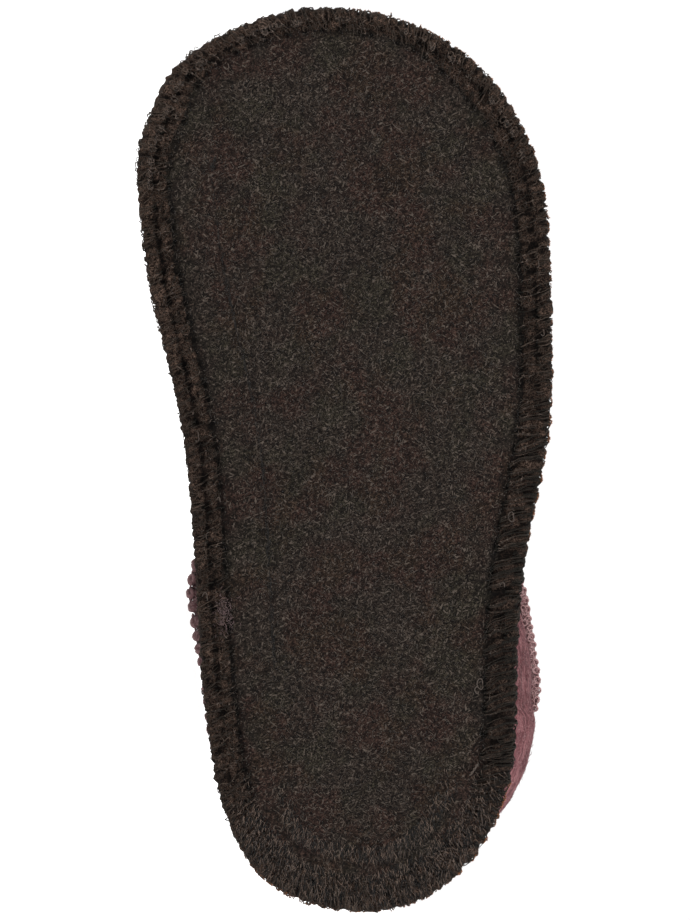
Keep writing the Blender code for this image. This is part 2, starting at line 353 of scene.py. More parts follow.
def wisps(centre, side, count, width, radius, rng, sides=4, pinch=0.5, loose=0.06, weave=0.0, proud=0.05, tone=(0.88, 0.3),
          crown=0.05):
    """Thin frizzy strands side by side along each centre line, drawn together at the start, each
    with its own wander, height, knots and tone. side is the way across them at every point;
    width, pinch, loose and weave (how far they dip and rise) may differ from line to line."""
    m, p, _ = centre.shape
    full = lambda v: np.broadcast_to(v if np.ndim(v) == 2 else np.asarray(v, float).reshape(-1, 1), (m, p))
    width, pinch, loose, weave = full(width), full(pinch), full(loose), full(weave)
    tan = unit(np.gradient(centre, axis=1))
    bi = unit(side - (side * tan).sum(-1, keepdims=True) * tan)
    nor = np.cross(bi, tan)
    sign = np.sign((nor * (centre - centre.mean(1, keepdims=True))).sum((1, 2)))[:, None]
    u = np.linspace(0, 1, p)[None]
    spread = 1 - pinch * (1 - ramp(0.0, 0.35, u))
    out = []
    for k in range(count):
        place = np.clip((2 * (k + 0.5) / count - 1) + 0.36 * rng.standard_normal((m, 1)), -1.25, 1.25)
        wander = np.cumsum(rng.standard_normal((m, p)), 1) * loose
        wander = wander - wander.mean(1, keepdims=True) + (u - 0.5) * (wander[:, -1:] - wander[:, :1]) * -1.0
        lift = proud + crown * (1 - place ** 2) + (0.35 * loose + weave) * rng.standard_normal((m, p)) \
            + 0.03 * rng.standard_normal((m, 1))
        line = centre + (width * spread * place + wander)[..., None] * bi + (sign * lift)[..., None] * nor
        r = radius * (1 + 0.25 * rng.standard_normal((m, 1))) * (1 + 0.25 * rng.standard_normal((m, p)))
        v, f, uv = tubes(line, np.clip(r, 0.5 * radius, 1.7 * radius), sides)
        uv[:, 5] = np.repeat(np.clip(tone[0] + tone[1] * rng.standard_normal(m), 0.25, 1.4), p * sides)
        out.append((v, f, uv))
    return out


def roll(edge, place, profile, pitch, relief, columns, lump):
    """Closed soft roll swept round a ring: the matted body that the strands lie on. profile is
    a closed list of (out or inset, height, share of relief); place lays it on the ring."""
    s = np.arange(columns) / columns * edge.length
    prof = np.array(profile, float)
    base = place(s[:, None] + 0 * prof[None, :, 0], np.broadcast_to(prof[None, :, 0], (columns, len(prof))),
                 np.broadcast_to(prof[None, :, 1], (columns, len(prof))))
    across = np.roll(base, -1, 1) - np.roll(base, 1, 1)
    nrm = unit(np.cross(np.roll(base, -1, 0) - np.roll(base, 1, 0), across))
    if ((base - base.mean(1, keepdims=True)) * nrm).sum() < 0:
        nrm = -nrm
    h = lump(s[:, None], base) + relief * (0.45 * noise(base, 1.6, 4) + 0.55 * noise(base, 0.8, 6))
    h = h * prof[None, :, 2]
    v = base + h[..., None] * nrm
    r = len(prof)
    idx = np.arange(columns * r).reshape(columns, r)
    up, right = np.roll(idx, -1, 0), np.roll(idx, -1, 1)
    f = [np.stack([idx, right, np.roll(up, -1, 1), up], -1).reshape(-1, 4)]
    # painted shade: darker in the roll's hollows and lighter on its lumps
    shade = np.clip(0.50 + 1.1 * h / max(relief, 1e-6) * 0.5, 0.05, 1.0)
    uv = np.zeros((columns, r, 2))
    across = np.concatenate([[0], np.cumsum(np.linalg.norm(np.diff(prof[:, :2], axis=0), axis=1))])
    uv[..., 0] = across[None]
    uv[..., 1] = s[:, None] + 0.35 * across[None]
    v = v.reshape(-1, 3)
    return v, outward(v, f), uv.reshape(-1, 2), shade.reshape(-1), nrm.reshape(-1, 3)


def needles(base, direction, width, bend=None):
    """Tapered fibres, each a closed sliver with three sides; bend adds a knee."""
    m = len(base)
    d = unit(direction)
    ref = np.where(np.abs(d[:, 2:3]) < 0.9, np.array([[0, 0, 1.0]]), np.array([[1.0, 0, 0]]))
    n = unit(np.cross(d, ref))
    b = np.cross(d, n)
    a = 2 * math.pi * np.arange(3) / 3
    ring = np.cos(a)[None, :, None] * n[:, None] + np.sin(a)[None, :, None] * b[:, None]
    w = np.broadcast_to(width, (m,))[:, None, None]
    root = base[:, None] + w * ring
    if bend is None:
        verts = np.concatenate([root, (base + direction)[:, None]], 1)
        i = 4 * np.arange(m)[:, None]
        faces = np.concatenate([i + np.array([[0, 1, 3]]), i + np.array([[1, 2, 3]]),
                                i + np.array([[2, 0, 3]]), i + np.array([[2, 1, 0]])])
        return verts.reshape(-1, 3), [faces], np.zeros((4 * m, 2))
    knee = (base + 0.5 * direction + bend)[:, None] + 0.8 * w * ring
    verts = np.concatenate([root, knee, (base + direction)[:, None]], 1)
    i = 7 * np.arange(m)[:, None]
    quads = np.concatenate([i + np.array([[k, (k + 1) % 3, 3 + (k + 1) % 3, 3 + k]]) for k in range(3)])
    tris = np.concatenate([i + np.array([[3 + k, 3 + (k + 1) % 3, 6]]) for k in range(3)]
                          + [i + np.array([[2, 1, 0]])])
    return verts.reshape(-1, 3), [quads, tris], np.zeros((7 * m, 2))


# ------------------------------------------------------------------ materials
class Nodes:
    """Short hand for a procedural material; coordinates are in millimetres."""

    def __init__(self, name, **shader):
        self.mat = bpy.data.materials.new(name)
        self.mat.use_nodes = True
        self.tree = self.mat.node_tree
        self.bsdf = self.tree.nodes["Principled BSDF"]
        for k, v in shader.items():
            self.bsdf.inputs[k.replace("_", " ")].default_value = v
        tc = self.node("ShaderNodeTexCoord")
        self.object = tc.outputs["Object"]

    def node(self, kind, **settings):
        n = self.tree.nodes.new(kind)
        for k, v in settings.items():
            setattr(n, k, v)
        return n

    def link(self, a, b):
        self.tree.links.new(a, b)

    def place(self, scale, rotation=(0, 0, 0), source=None):
        """scale is in lumps per mm, per axis, measured after the turn."""
        m = self.node("ShaderNodeMapping", vector_type="TEXTURE")
        m.inputs["Rotation"].default_value = [math.radians(v) for v in rotation]
        m.inputs["Scale"].default_value = [1.0 / v for v in (scale if np.ndim(scale) else (scale,) * 3)]
        if source is None:
            g = self.node("ShaderNodeVectorMath", operation="SCALE")
            g.inputs["Scale"].default_value = 1000.0
            self.link(self.object, g.inputs[0])
            source = g.outputs[0]
        self.link(source, m.inputs["Vector"])
        return m.outputs["Vector"]

    def noise(self, where, detail=2.0, rough=0.5, distortion=0.0, scale=1.0):
        n = self.node("ShaderNodeTexNoise")
        n.inputs["Scale"].default_value = scale
        n.inputs["Detail"].default_value = detail
        n.inputs["Roughness"].default_value = rough
        n.inputs["Distortion"].default_value = distortion
        self.link(where, n.inputs["Vector"])
        return n.outputs["Fac"]

    def steps(self, value, *stops):
        """Colour ramp; each stop is (place, colour or grey)."""
        r = self.node("ShaderNodeValToRGB")
        e = r.color_ramp.elements
        while len(e) < len(stops):
            e.new(0.5)
        for el, (pos, col) in zip(e, stops):
            el.position = pos
            el.color = (*col, 1.0) if np.ndim(col) else (col, col, col, 1.0)
        self.link(value, r.inputs["Fac"])
        return r.outputs["Color"]

    def mix(self, fac, a, b, blend="MIX"):
        n = self.node("ShaderNodeMix", data_type="RGBA", blend_type=blend)
        for sock, v in ((n.inputs[0], fac), (n.inputs[6], a), (n.inputs[7], b)):
            if isinstance(v, (int, float)):
                sock.default_value = v
            elif isinstance(v, tuple):
                sock.default_value = (*v, 1.0)
            else:
                self.link(v, sock)
        return n.outputs[2]

    def maths(self, op, a, b=0.0, clamp=False):
        n = self.node("ShaderNodeMath", operation=op, use_clamp=clamp)
        for sock, v in ((n.inputs[0], a), (n.inputs[1], b)):
            if isinstance(v, (int, float)):
                sock.default_value = v
            else:
                self.link(v, sock)
        return n.outputs[0]

    def shaded(self, body, floor=0.25):
        """Darkens the colour by the mesh's own "shade" (1 open, 0 deep)."""
        a = self.node("ShaderNodeAttribute", attribute_name="shade")
        return self.mix(1.0, body, self.steps(a.outputs["Fac"], (0.0, floor), (1.0, 1.0)), "MULTIPLY")

    def painted_floor_shade(self, body, floor_shade_colour):
        """Painted shade: greyer on the slipper's inner side, which rests next to the floor in shade."""
        if floor_shade_colour is None:
            return body
        sep = self.node("ShaderNodeSeparateXYZ")
        self.link(self.object, sep.inputs[0])
        low = self.steps(self.maths("MULTIPLY", sep.outputs[2], 20.0), (0.2, 0.62), (0.7, 0.0))
        return self.mix(low, body, floor_shade_colour)

    def bump(self, height, distance, strength=1.0, under=None):
        b = self.node("ShaderNodeBump")
        b.inputs["Strength"].default_value = strength
        b.inputs["Distance"].default_value = distance * 0.001
        self.link(height, b.inputs["Height"])
        if under is not None:
            self.link(under, b.inputs["Normal"])
        return b.outputs["Normal"]

    def colour(self, c):
        self.link(c, self.bsdf.inputs["Base Color"])

    def normal(self, n):
        self.link(n, self.bsdf.inputs["Normal"])

    def rough(self, r):
        self.link(r, self.bsdf.inputs["Roughness"])


def lin(r, g, b, k=1.0):
    """sRGB 0..255 to linear, times k."""
    out = []
    for v in (r, g, b):
        v /= 255.0
        out.append(k * (v / 12.92 if v <= 0.04045 else ((v + 0.055) / 1.055) ** 2.4))
    return tuple(out)


def felt_material(name, dark, mid, light, tints, fleck, strength=1.0, fleck_at=0.66, sheen=0.08, low=0.10):
    """Pressed felt: grains of dark and light fibre, soft clouds of tint, short pale flecks."""
    m = Nodes(name, Roughness=0.95, Sheen_Weight=sheen, Sheen_Roughness=0.5, Specular_IOR_Level=0.10)
    m.bsdf.inputs["Sheen Tint"].default_value = (*[min(1.0, 9 * v) for v in mid], 1.0)
    fine = m.noise(m.place(2.6), detail=3.0, rough=0.72, distortion=0.8)
    lines = m.noise(m.place((1.5, 3.0, 3.6), (0, 62, 0)), detail=2.0, rough=0.65, distortion=1.4)
    coarse = m.noise(m.place(0.8), detail=2.0, rough=0.55, distortion=0.5)
    grain = m.mix(0.42, fine, lines)
    body = m.steps(grain, (0.39, dark), (0.50, mid), (0.62, light))
    cloud = m.noise(m.place(0.10), detail=2.0, rough=0.6)
    cloud2 = m.noise(m.place((0.085, 0.12, 0.15), (20, 40, 10)), detail=3.0, rough=0.6)
    body = m.mix(m.steps(cloud, (0.45, 0.0), (0.58, 0.8)), body, m.mix(1.0, body, tints[0], "MULTIPLY"))
    body = m.mix(m.steps(cloud2, (0.48, 0.0), (0.60, 0.8)), body, m.mix(1.0, body, tints[1], "MULTIPLY"))
    body = m.mix(m.steps(coarse, (0.38, 0.6), (0.54, 0.0)), body, dark)
    for turn, seed in ((18, 0.0), (77, 31.0), (131, 57.0)):
        f = m.noise(m.place((1.0, 3.3, 3.3), (seed, turn, 0)), detail=1.0, rough=0.5, distortion=0.5)
        body = m.mix(m.steps(f, (fleck_at, 0.0), (fleck_at + 0.06, 0.8)), body, fleck)
    m.colour(m.shaded(body, low))
    n = m.bump(coarse, 0.45, 0.55 * strength)
    n = m.bump(grain, 0.40, 0.85 * strength, n)
    m.normal(n)
    m.rough(m.steps(coarse, (0.3, 0.88), (0.7, 1.0)))
    return m.mat


def wool_material(name, dark, mid, light, fibre, knit=0.5):
    m = Nodes(name, Roughness=0.92, Sheen_Weight=0.14, Sheen_Roughness=0.45, Specular_IOR_Level=0.12)
    m.bsdf.inputs["Sheen Tint"].default_value = (*[min(1.0, 2.6 * v + 0.15) for v in mid], 1.0)
    fine = m.noise(m.place(2.4), detail=3.0, rough=0.62, distortion=0.9)
    pebble = m.noise(m.place(0.62), detail=2.0, rough=0.5, distortion=0.7)
    cloud = m.noise(m.place(0.07), detail=2.0, rough=0.5)
    body = m.steps(fine, (0.30, dark), (0.50, mid), (0.70, light))
    body = m.mix(m.steps(pebble, (0.34, 0.45), (0.52, 0.0)), body, dark)
    body = m.mix(m.steps(cloud, (0.42, 0.0), (0.62, 0.30)), body, light)
    patch = m.noise(m.place((0.20, 0.55, 0.55), (0, 0, 0)), detail=2.0, rough=0.6, distortion=0.6)
    body = m.mix(m.steps(patch, (0.50, 0.0), (0.64, 0.75)), body, light)
    body = m.mix(m.steps(patch, (0.36, 0.70), (0.50, 0.0)), body, dark)
    for turn, seed in ((10, 5.0), (64, 40.0), (120, 80.0)):
        s = m.noise(m.place((0.5, 3.0, 3.3), (turn, turn + 30, seed)), detail=1.0, distortion=0.8)
        body = m.mix(m.steps(s, (0.63, 0.0), (0.70, 0.55)), body, fibre)
    m.colour(m.shaded(body, 0.12))
    n = m.bump(pebble, 0.55, knit)
    n = m.bump(fine, 0.24, 0.8, n)
    m.normal(n)
    m.rough(m.steps(pebble, (0.3, 0.80), (0.7, 0.97)))
    return m.mat


def yarn_material(name, dark, mid, light, sheen, twist=0.55, low=0.10, floor_shade_colour=None):
    """Streaks run along the strand and turn round it with its twist."""
    m = Nodes(name, Roughness=0.88, Sheen_Weight=sheen, Sheen_Roughness=0.4, Specular_IOR_Level=0.15)
    m.bsdf.inputs["Sheen Tint"].default_value = (*[min(1.0, 4 * v + 0.05) for v in light], 1.0)
    uv = m.node("ShaderNodeUVMap", uv_map="along")
    sep = m.node("ShaderNodeSeparateXYZ")
    m.link(uv.outputs["UV"], sep.inputs[0])
    turn = m.maths("ADD", sep.outputs[0], m.maths("MULTIPLY", sep.outputs[1], twist))
    ang = m.maths("MULTIPLY", turn, 2 * math.pi)
    comb = m.node("ShaderNodeCombineXYZ")
    m.link(m.maths("MULTIPLY", m.maths("COSINE", ang), 1.5), comb.inputs[0])
    m.link(m.maths("MULTIPLY", m.maths("SINE", ang), 1.5), comb.inputs[1])
    m.link(m.maths("MULTIPLY", sep.outputs[1], 0.55), comb.inputs[2])
    streak = m.noise(comb.outputs[0], detail=2.0, rough=0.6, scale=1.6)
    grain = m.noise(m.place(3.0), detail=2.0, rough=0.6)
    tone = m.noise(m.place(0.35), detail=1.0)
    body = m.steps(streak, (0.36, dark), (0.52, mid), (0.70, light))
    body = m.mix(m.steps(grain, (0.40, 0.55), (0.56, 0.0)), body, dark)
    body = m.mix(m.steps(tone, (0.40, 0.35), (0.62, 0.0)), body, dark)
    m.colour(m.shaded(m.painted_floor_shade(body, floor_shade_colour), low))
    n = m.bump(streak, 0.22, 0.9)
    n = m.bump(grain, 0.14, 0.7, n)
    m.normal(n)
    return m.mat


def mat_material(name, dark, mid, light, low=0.1, size=1.0, floor_shade_colour=None):
    """Matted curly yarn: streaks across the band, broken by frizz that runs anywhere."""
    m = Nodes(name, Roughness=0.95, Specular_IOR_Level=0.08)
    uv = m.node("ShaderNodeUVMap", uv_map="along")
    streak = m.noise(m.place((1.1 / size, 3.0 / size, 1.0), source=uv.outputs["UV"]), detail=3.0, rough=0.75,
                     distortion=1.5)
    frizz = m.noise(m.place(2.9 / size), detail=3.0, rough=0.75, distortion=1.6)
    tone = m.noise(m.place(0.6 / size), detail=2.0, rough=0.6)
    grain = m.mix(0.55, streak, frizz)
    body = m.steps(grain, (0.42, dark), (0.50, mid), (0.60, light))
    body = m.mix(m.steps(tone, (0.38, 0.7), (0.54, 0.0)), body, dark)
    for turn, seed in ((35, 10.0), (95, 40.0), (150, 70.0)):
        f = m.noise(m.place((1.2 / size, 3.6 / size, 3.6 / size), (seed, turn, 0)), detail=1.0, distortion=0.8)
        body = m.mix(m.steps(f, (0.62, 0.0), (0.68, 0.8)), body, light)
    m.colour(m.shaded(m.painted_floor_shade(body, floor_shade_colour), low))
    n = m.bump(frizz, 0.55, 0.75)
    n = m.bump(streak, 0.50, 0.85, n)
    m.normal(n)
    return m.mat


def fibre_material(name, colour, sheen=0.1):
    m = Nodes(name, Roughness=0.85, Sheen_Weight=sheen, Sheen_Roughness=0.4, Specular_IOR_Level=0.15)
    m.bsdf.inputs["Base Color"].default_value = (*colour, 1.0)
    return m.mat


K = 0.60   # how much darker the paints are than the photographed tones, for this light
SOLE_FELT = felt_material(
    "sole_felt", lin(7, 4, 3, K), lin(36, 30, 26, K), lin(78, 68, 61, K),
    ((1.18, 0.84, 0.82), (0.90, 1.04, 0.90)), lin(100, 90, 82, K), low=0.04)
INSOLE_FELT = felt_material(
    "insole_felt", lin(60, 52, 48, K), lin(98, 88, 82, K), lin(128, 118, 111, K),
    ((1.08, 0.92, 0.90), (0.96, 1.02, 0.96)), lin(160, 150, 142, K), sheen=0.15, low=1.0)
WOOL = wool_material("boiled_wool", lin(70, 28, 37, K), lin(108, 57, 62, K), lin(166, 112, 116, K),
                     lin(186, 142, 142, K))
COLLAR = yarn_material("collar_yarn", lin(182, 132, 134, K), lin(226, 182, 182, K), lin(250, 224, 220, K), 0.12,
                       low=0.35, floor_shade_colour=lin(128, 104, 106, K))
COLLAR_MAT = mat_material("collar_mat", lin(138, 88, 93, K), lin(192, 140, 144, K), lin(236, 200, 200, K), low=0.4,
                          floor_shade_colour=lin(112, 88, 90, K))
SOLE_YARN = yarn_material("sole_yarn", lin(42, 30, 24, K), lin(116, 93, 80, K), lin(196, 169, 152, K), 0.04, low=0.02)
SOLE_MAT = mat_material("sole_mat", lin(6, 3, 1, K), lin(52, 38, 31, K), lin(148, 122, 107, K), low=0.04, size=0.85)

# ------------------------------------------------------------------ stitch places
def pit_at(s):
    """Distance inside the edge at which the long stitches enter the felt; less at the toe's tip."""
    return PIT - 1.6 * ramp(157, 169, SOLE_EDGE.point(s)[..., 0])


_rng = np.random.default_rng(3)
N_STITCH = int(round(SOLE_EDGE.length / STITCH))
STITCH_S = np.sort((np.arange(N_STITCH) + 0.15 * _rng.standard_normal(N_STITCH)) * SOLE_EDGE.length / N_STITCH)
SLIDE = 1.24            # how far along the edge a long stitch has moved where it enters the felt
PIT_IN = pit_at(STITCH_S) + 0.30 * _rng.standard_normal(N_STITCH)


def to_nearest(s, marks):
    m = np.concatenate([[marks[-1] - SOLE_EDGE.length], marks, [marks[0] + SOLE_EDGE.length]])
    s = np.mod(s, SOLE_EDGE.length)
    k = np.clip(np.searchsorted(m, s), 1, len(m) - 1)
    return np.minimum(np.abs(s - m[k - 1]), np.abs(m[k] - s))


def twice(s):
    """1 where the band is drawn into two rows of knots: all the inner side but the heel, and
    the front half of the outer side."""
    q = SOLE_EDGE.point(s)
    inner = 1 - ramp(-6, 10, q[..., 1])
    return (inner * ramp(28, 52, q[..., 0]) + (1 - inner) * 0.75 * ramp(88, 112, q[..., 0])) * (1 - 0.6 * ramp(158, 168, q[..., 0]))


def dots(s, inset):
    """How deep the band's hollows are, 0 to 1, which also sets the painted shade in them: a row of
    hollows between its two rows of knots and a row along the felt, where the yarn goes in; none at the brushed end of
    the heel."""
    pit = pit_at(s)
    d1, d2 = to_nearest(s - 0.5 * STITCH, STITCH_S), to_nearest(s - SLIDE, STITCH_S)
    one = twice(s) * np.maximum(np.exp(-(d1 / 0.70) ** 2 - ((inset - 2.45) / 0.50) ** 2),
                                0.50 * np.exp(-((inset - 2.45) / 0.34) ** 2))
    x = SOLE_EDGE.point(s)[..., 0]
    two = np.maximum(np.exp(-(d2 / 0.80) ** 2 - ((inset - pit) / 0.60) ** 2),
                     0.45 * np.exp(-((inset - pit) / 0.42) ** 2) * (1 - 0.45 * ramp(130, 155, x)))
    return np.maximum(one, two) * ramp(14, 30, x)


def wavy(s, size, shift=0.0):
    """Noise along the sole's edge."""
    a = 2 * math.pi * np.asarray(s) / SOLE_EDGE.length
    r = SOLE_EDGE.length / (2 * math.pi)
    return noise(np.stack([r * np.cos(a), r * np.sin(a), 0 * a], -1), size, shift)


# ------------------------------------------------------------------ the sole
def sole_relief(x, y, s, inset):
    """How far the sole's underside stands out (positive is towards the ground), in mm."""
    p = np.stack([x, y, 0 * x], -1)
    pit = pit_at(s)
    out = 0.10 * noise(p, 11.0) + 0.07 * noise(p, 4.2, 1) + 0.045 * noise(p, 2.1, 2)
    toe = ramp(130, 155, x)
    band = 1.0 / (1.0 + np.exp((inset - pit + 0.5 + 0.5 * toe) / 0.35))
    out = out * (1 - band) - 0.38 * band * (1 - 0.4 * toe)
    out += 0.20 * np.exp(-((inset - pit - 2.1) / 1.5) ** 2) * (1 + 0.5 * wavy(s, 9.0, 3))
    return out - 0.75 * dots(s, inset)


def painted_light(p):
    """Painted light and shade on the overcast yarn by place: lighter on the inner side, round the toe
    and at the heel's end, and darkest on the outer side of the heel."""
    x, y = p[..., 0], p[..., 1]
    inner = 1 - ramp(-12, 12, y)
    out = 0.70 + 0.10 * inner + 0.17 * inner * ramp(85, 125, x) + 0.03 * (1 - inner) * ramp(90, 130, x)
    out = out + 0.20 * ramp(140, 165, x) + 0.06 * (1 - ramp(4, 20, x))
    return np.minimum(out - 0.24 * ramp(0, 15, y) * (1 - ramp(60, 95, x)) * ramp(8, 24, x), 1.0)


def lines_show(s):
    """1 where the stitches lie as separate lines, at the back of the outer side; 0 where matted."""
    q = SOLE_EDGE.point(s)
    return ramp(8, 20, q[..., 1]) * (1 - ramp(86, 102, q[..., 0]))


def sole_shade(s, inset):
    """Light that reaches the felt: little between the stitches, least in their holes."""
    pit = pit_at(s)
    x = SOLE_EDGE.point(s)[..., 0]
    toe = ramp(130, 155, x)
    band = 0.80 / (1.0 + np.exp((inset - pit + 0.4 + 0.6 * toe) / 0.28))
    soft = 0.14 * np.exp(-((inset - pit) / 2.2) ** 2) * ramp(14, 30, x) * (1 - 0.6 * toe)
    heel = 1 - ramp(12, 24, x)   # painted shade in two lines across the end of the heel, so that it looks softly ridged
    soft = soft + heel * (0.42 * np.exp(-((inset - 8.2) / 0.5) ** 2) + 0.22 * np.exp(-((inset - 12.6) / 0.6) ** 2))
    toe = ramp(140, 158, x)
    # painted shade in a faint line round the toe, 7.4 mm in
    soft = soft + toe * 0.12 * np.exp(-((inset - 7.4) / 0.5) ** 2)
    return np.clip(1.0 - band - soft - 0.85 * dots(s, inset), 0.03, 1.0)


def slab(inset0, bottom, top, round_edge, columns, rows_in, relief=None, deep=9.0, shade=None):
    """Closed sheet with rounded edges, from the middle line of the bottom over the edge to
    the middle line of the top. rows_in are extra insets of rows near the edge."""
    a = math.pi * np.arange(columns + 1) / columns
    t = np.concatenate([a, 2 * math.pi - a[-2:0:-1]])
    e, n = sole_ring(t), ring_normal(sole_ring, t)
    s = SOLE_EDGE.length_at(t)
    ang, _ = fold(t)
    m = middle(ang)
    prof = []
    for b in (0.93, 0.86, 0.78, 0.70, 0.62, 0.54, 0.46, 0.38, 0.30, 0.22, 0.14, 0.07, 0.02):
        prof.append(("in", b, 0.0))
    for d in sorted(rows_in, reverse=True):
        prof.append(("edge", d, 0.0))
    for k in range(0, 5):
        q = math.pi / 2 * k / 4
        prof.append(("edge", round_edge * (1 - math.sin(q)), round_edge * (1 - math.cos(q))))
    half = [("edge", 0.0, None)]
    mirror = [(kind, v, (None if z is None else -z - 1e-9)) for kind, v, z in prof[::-1]]
    rows, shades = [], []
    for kind, v, z in prof + half + mirror:
        if kind == "edge":
            q = e - (inset0 + v) * n
            inset = np.full(len(t), v)
        else:
            q0 = e - (inset0 + deep) * n
            q = q0 + v * (m - q0)
            inset = deep + v * np.linalg.norm(m - q0, axis=1)
        zb, zt = bottom(q[:, 0]), top(q[:, 0])
        if z is None:
            h = (zb + zt) / 2
        elif z < 0:
            h = zt + z
        else:
            h = zb + z
            if relief is not None:
                w = 1.0 if (kind == "in" or v >= round_edge) else v / round_edge
                h = h - w * relief(q[:, 0], q[:, 1], s, inset)
        rows.append(np.stack([q[:, 0], q[:, 1], h], -1))
        # painted shade: rows off the underside, under the yarn, are darkened to 0.3
        shades.append(shade(s, inset) if shade is not None and z is not None and z >= 0 else np.full(len(t), 0.3))
    nt = len(t)
    rows = np.stack(rows)
    verts = [rows.reshape(-1, 3)]
    r = len(rows)
    spine = np.minimum(np.arange(nt), (nt - np.arange(nt)) % nt)  # shared along the middle line
    ns = columns + 1
    for z in (bottom, top):
        h = z(m[:ns, 0])
        if relief is not None and z is bottom:
            h = h - relief(m[:ns, 0], m[:ns, 1], s[:ns], np.full(ns, 25.0))
        verts.append(np.stack([m[:ns, 0], m[:ns, 1], h], -1))
    idx = np.arange(r * nt).reshape(r, nt)
    nxt = np.roll(idx, -1, 1)
    quads = [np.stack([idx[:-1], idx[1:], nxt[1:], nxt[:-1]], -1).reshape(-1, 4)]
    tris = []
    for first, row, flip in ((r * nt, 0, False), (r * nt + ns, r - 1, True)):
        sp = first + spine
        spn = np.roll(sp, -1)
        f = np.stack([sp, idx[row], nxt[row], spn], -1)
        if flip:
            f = f[:, ::-1]
        same = sp == spn
        quads.append(f[~same])
        g = np.stack([sp, idx[row], nxt[row]], -1)[same]
        tris.append(g[:, ::-1] if flip else g)
    shades = np.concatenate([np.concatenate(shades), np.ones(ns), np.full(ns, 0.3)])
    return np.concatenate(verts), [np.concatenate(quads)] + [x for x in tris if len(x)], shades


def outward(verts, faces):
    """Turns all faces round if the shell is inside out."""
    vol = 0.0
    for f in faces:
        for k in range(1, f.shape[1] - 1):
            a, b, c = verts[f[:, 0]], verts[f[:, k]], verts[f[:, k + 1]]
            vol += np.einsum("ij,ij->i", a, np.cross(b, c)).sum()
    return [f[:, ::-1] for f in faces] if vol < 0 else faces


def make_outsole():
    rows_in = [2.4, 3.0] + [3.5 + 0.42 * k for k in range(13)]
    v, f, sh = slab(0.0, underside, lambda x: underside(x) + SOLE_THICKNESS, 1.2, 372, rows_in, sole_relief,
                    shade=sole_shade)
    return piece("outsole_felt", v, outward(v, f), SOLE_FELT, "outsole", shade=sh)


def make_insole():
    v, f, _ = slab(INSOLE_INSET, lambda x: underside(x) + SOLE_THICKNESS + GAP,
                lambda x: underside(x) + SOLE_THICKNESS + GAP + INSOLE_THICKNESS, 0.8, 110,
                [1.2, 2.0, 3.2, 5.0], None, deep=7.0)
    top = v[:, 2] > underside(v[:, 0]) + SOLE_THICKNESS + GAP + INSOLE_THICKNESS - 0.9
    v[top, 2] += 0.14 * noise(v[top], 9.0, 5) - 0.05
    return piece("insole_sheet", v, outward(v, f), INSOLE_FELT, "insole")


# ------------------------------------------------------------------ overcast sole yarn
def lay_on_edge(s, inset, height):
    """Places given by length along the sole's edge, distance inside it and height; the yarn
    stands out more at the inner side of the toe and at the end of the heel."""
    e = SOLE_EDGE.point(s)
    x = e[..., 0]
    inner = 1 - ramp(-12, 6, e[..., 1])
    small = 1.15 + 1.2 * inner * ramp(141, 150, x) * (1 - ramp(164, 170, x))
    small = small + (1 - ramp(3, 16, x)) * (0.30 + 0.6 * (1 - ramp(-14, 0, e[..., 1])))
    small = small - 0.75 * ramp(44, 53, x) * (1 - ramp(66, 76, x)) * (1 - ramp(-12, 0, e[..., 1]))
    q = e - np.where(inset < 0, inset * small, inset)[..., None] * SOLE_EDGE.normal(s)
    return np.concatenate([q, (height + underside(q[..., 0]))[..., None]], -1)


def round_sole(s0, ctrl, samples):
    """Paths given as (inset, height, slide along the edge), laid round the sole's edge, and the
    way along the edge at each of their points."""
    path = smooth_path(ctrl, samples)
    s = s0[:, None] + path[..., 2]
    n = SOLE_EDGE.normal(s)
    return lay_on_edge(s, path[..., 0], path[..., 1]), np.stack([-n[..., 1], n[..., 0], 0 * n[..., 0]], -1)


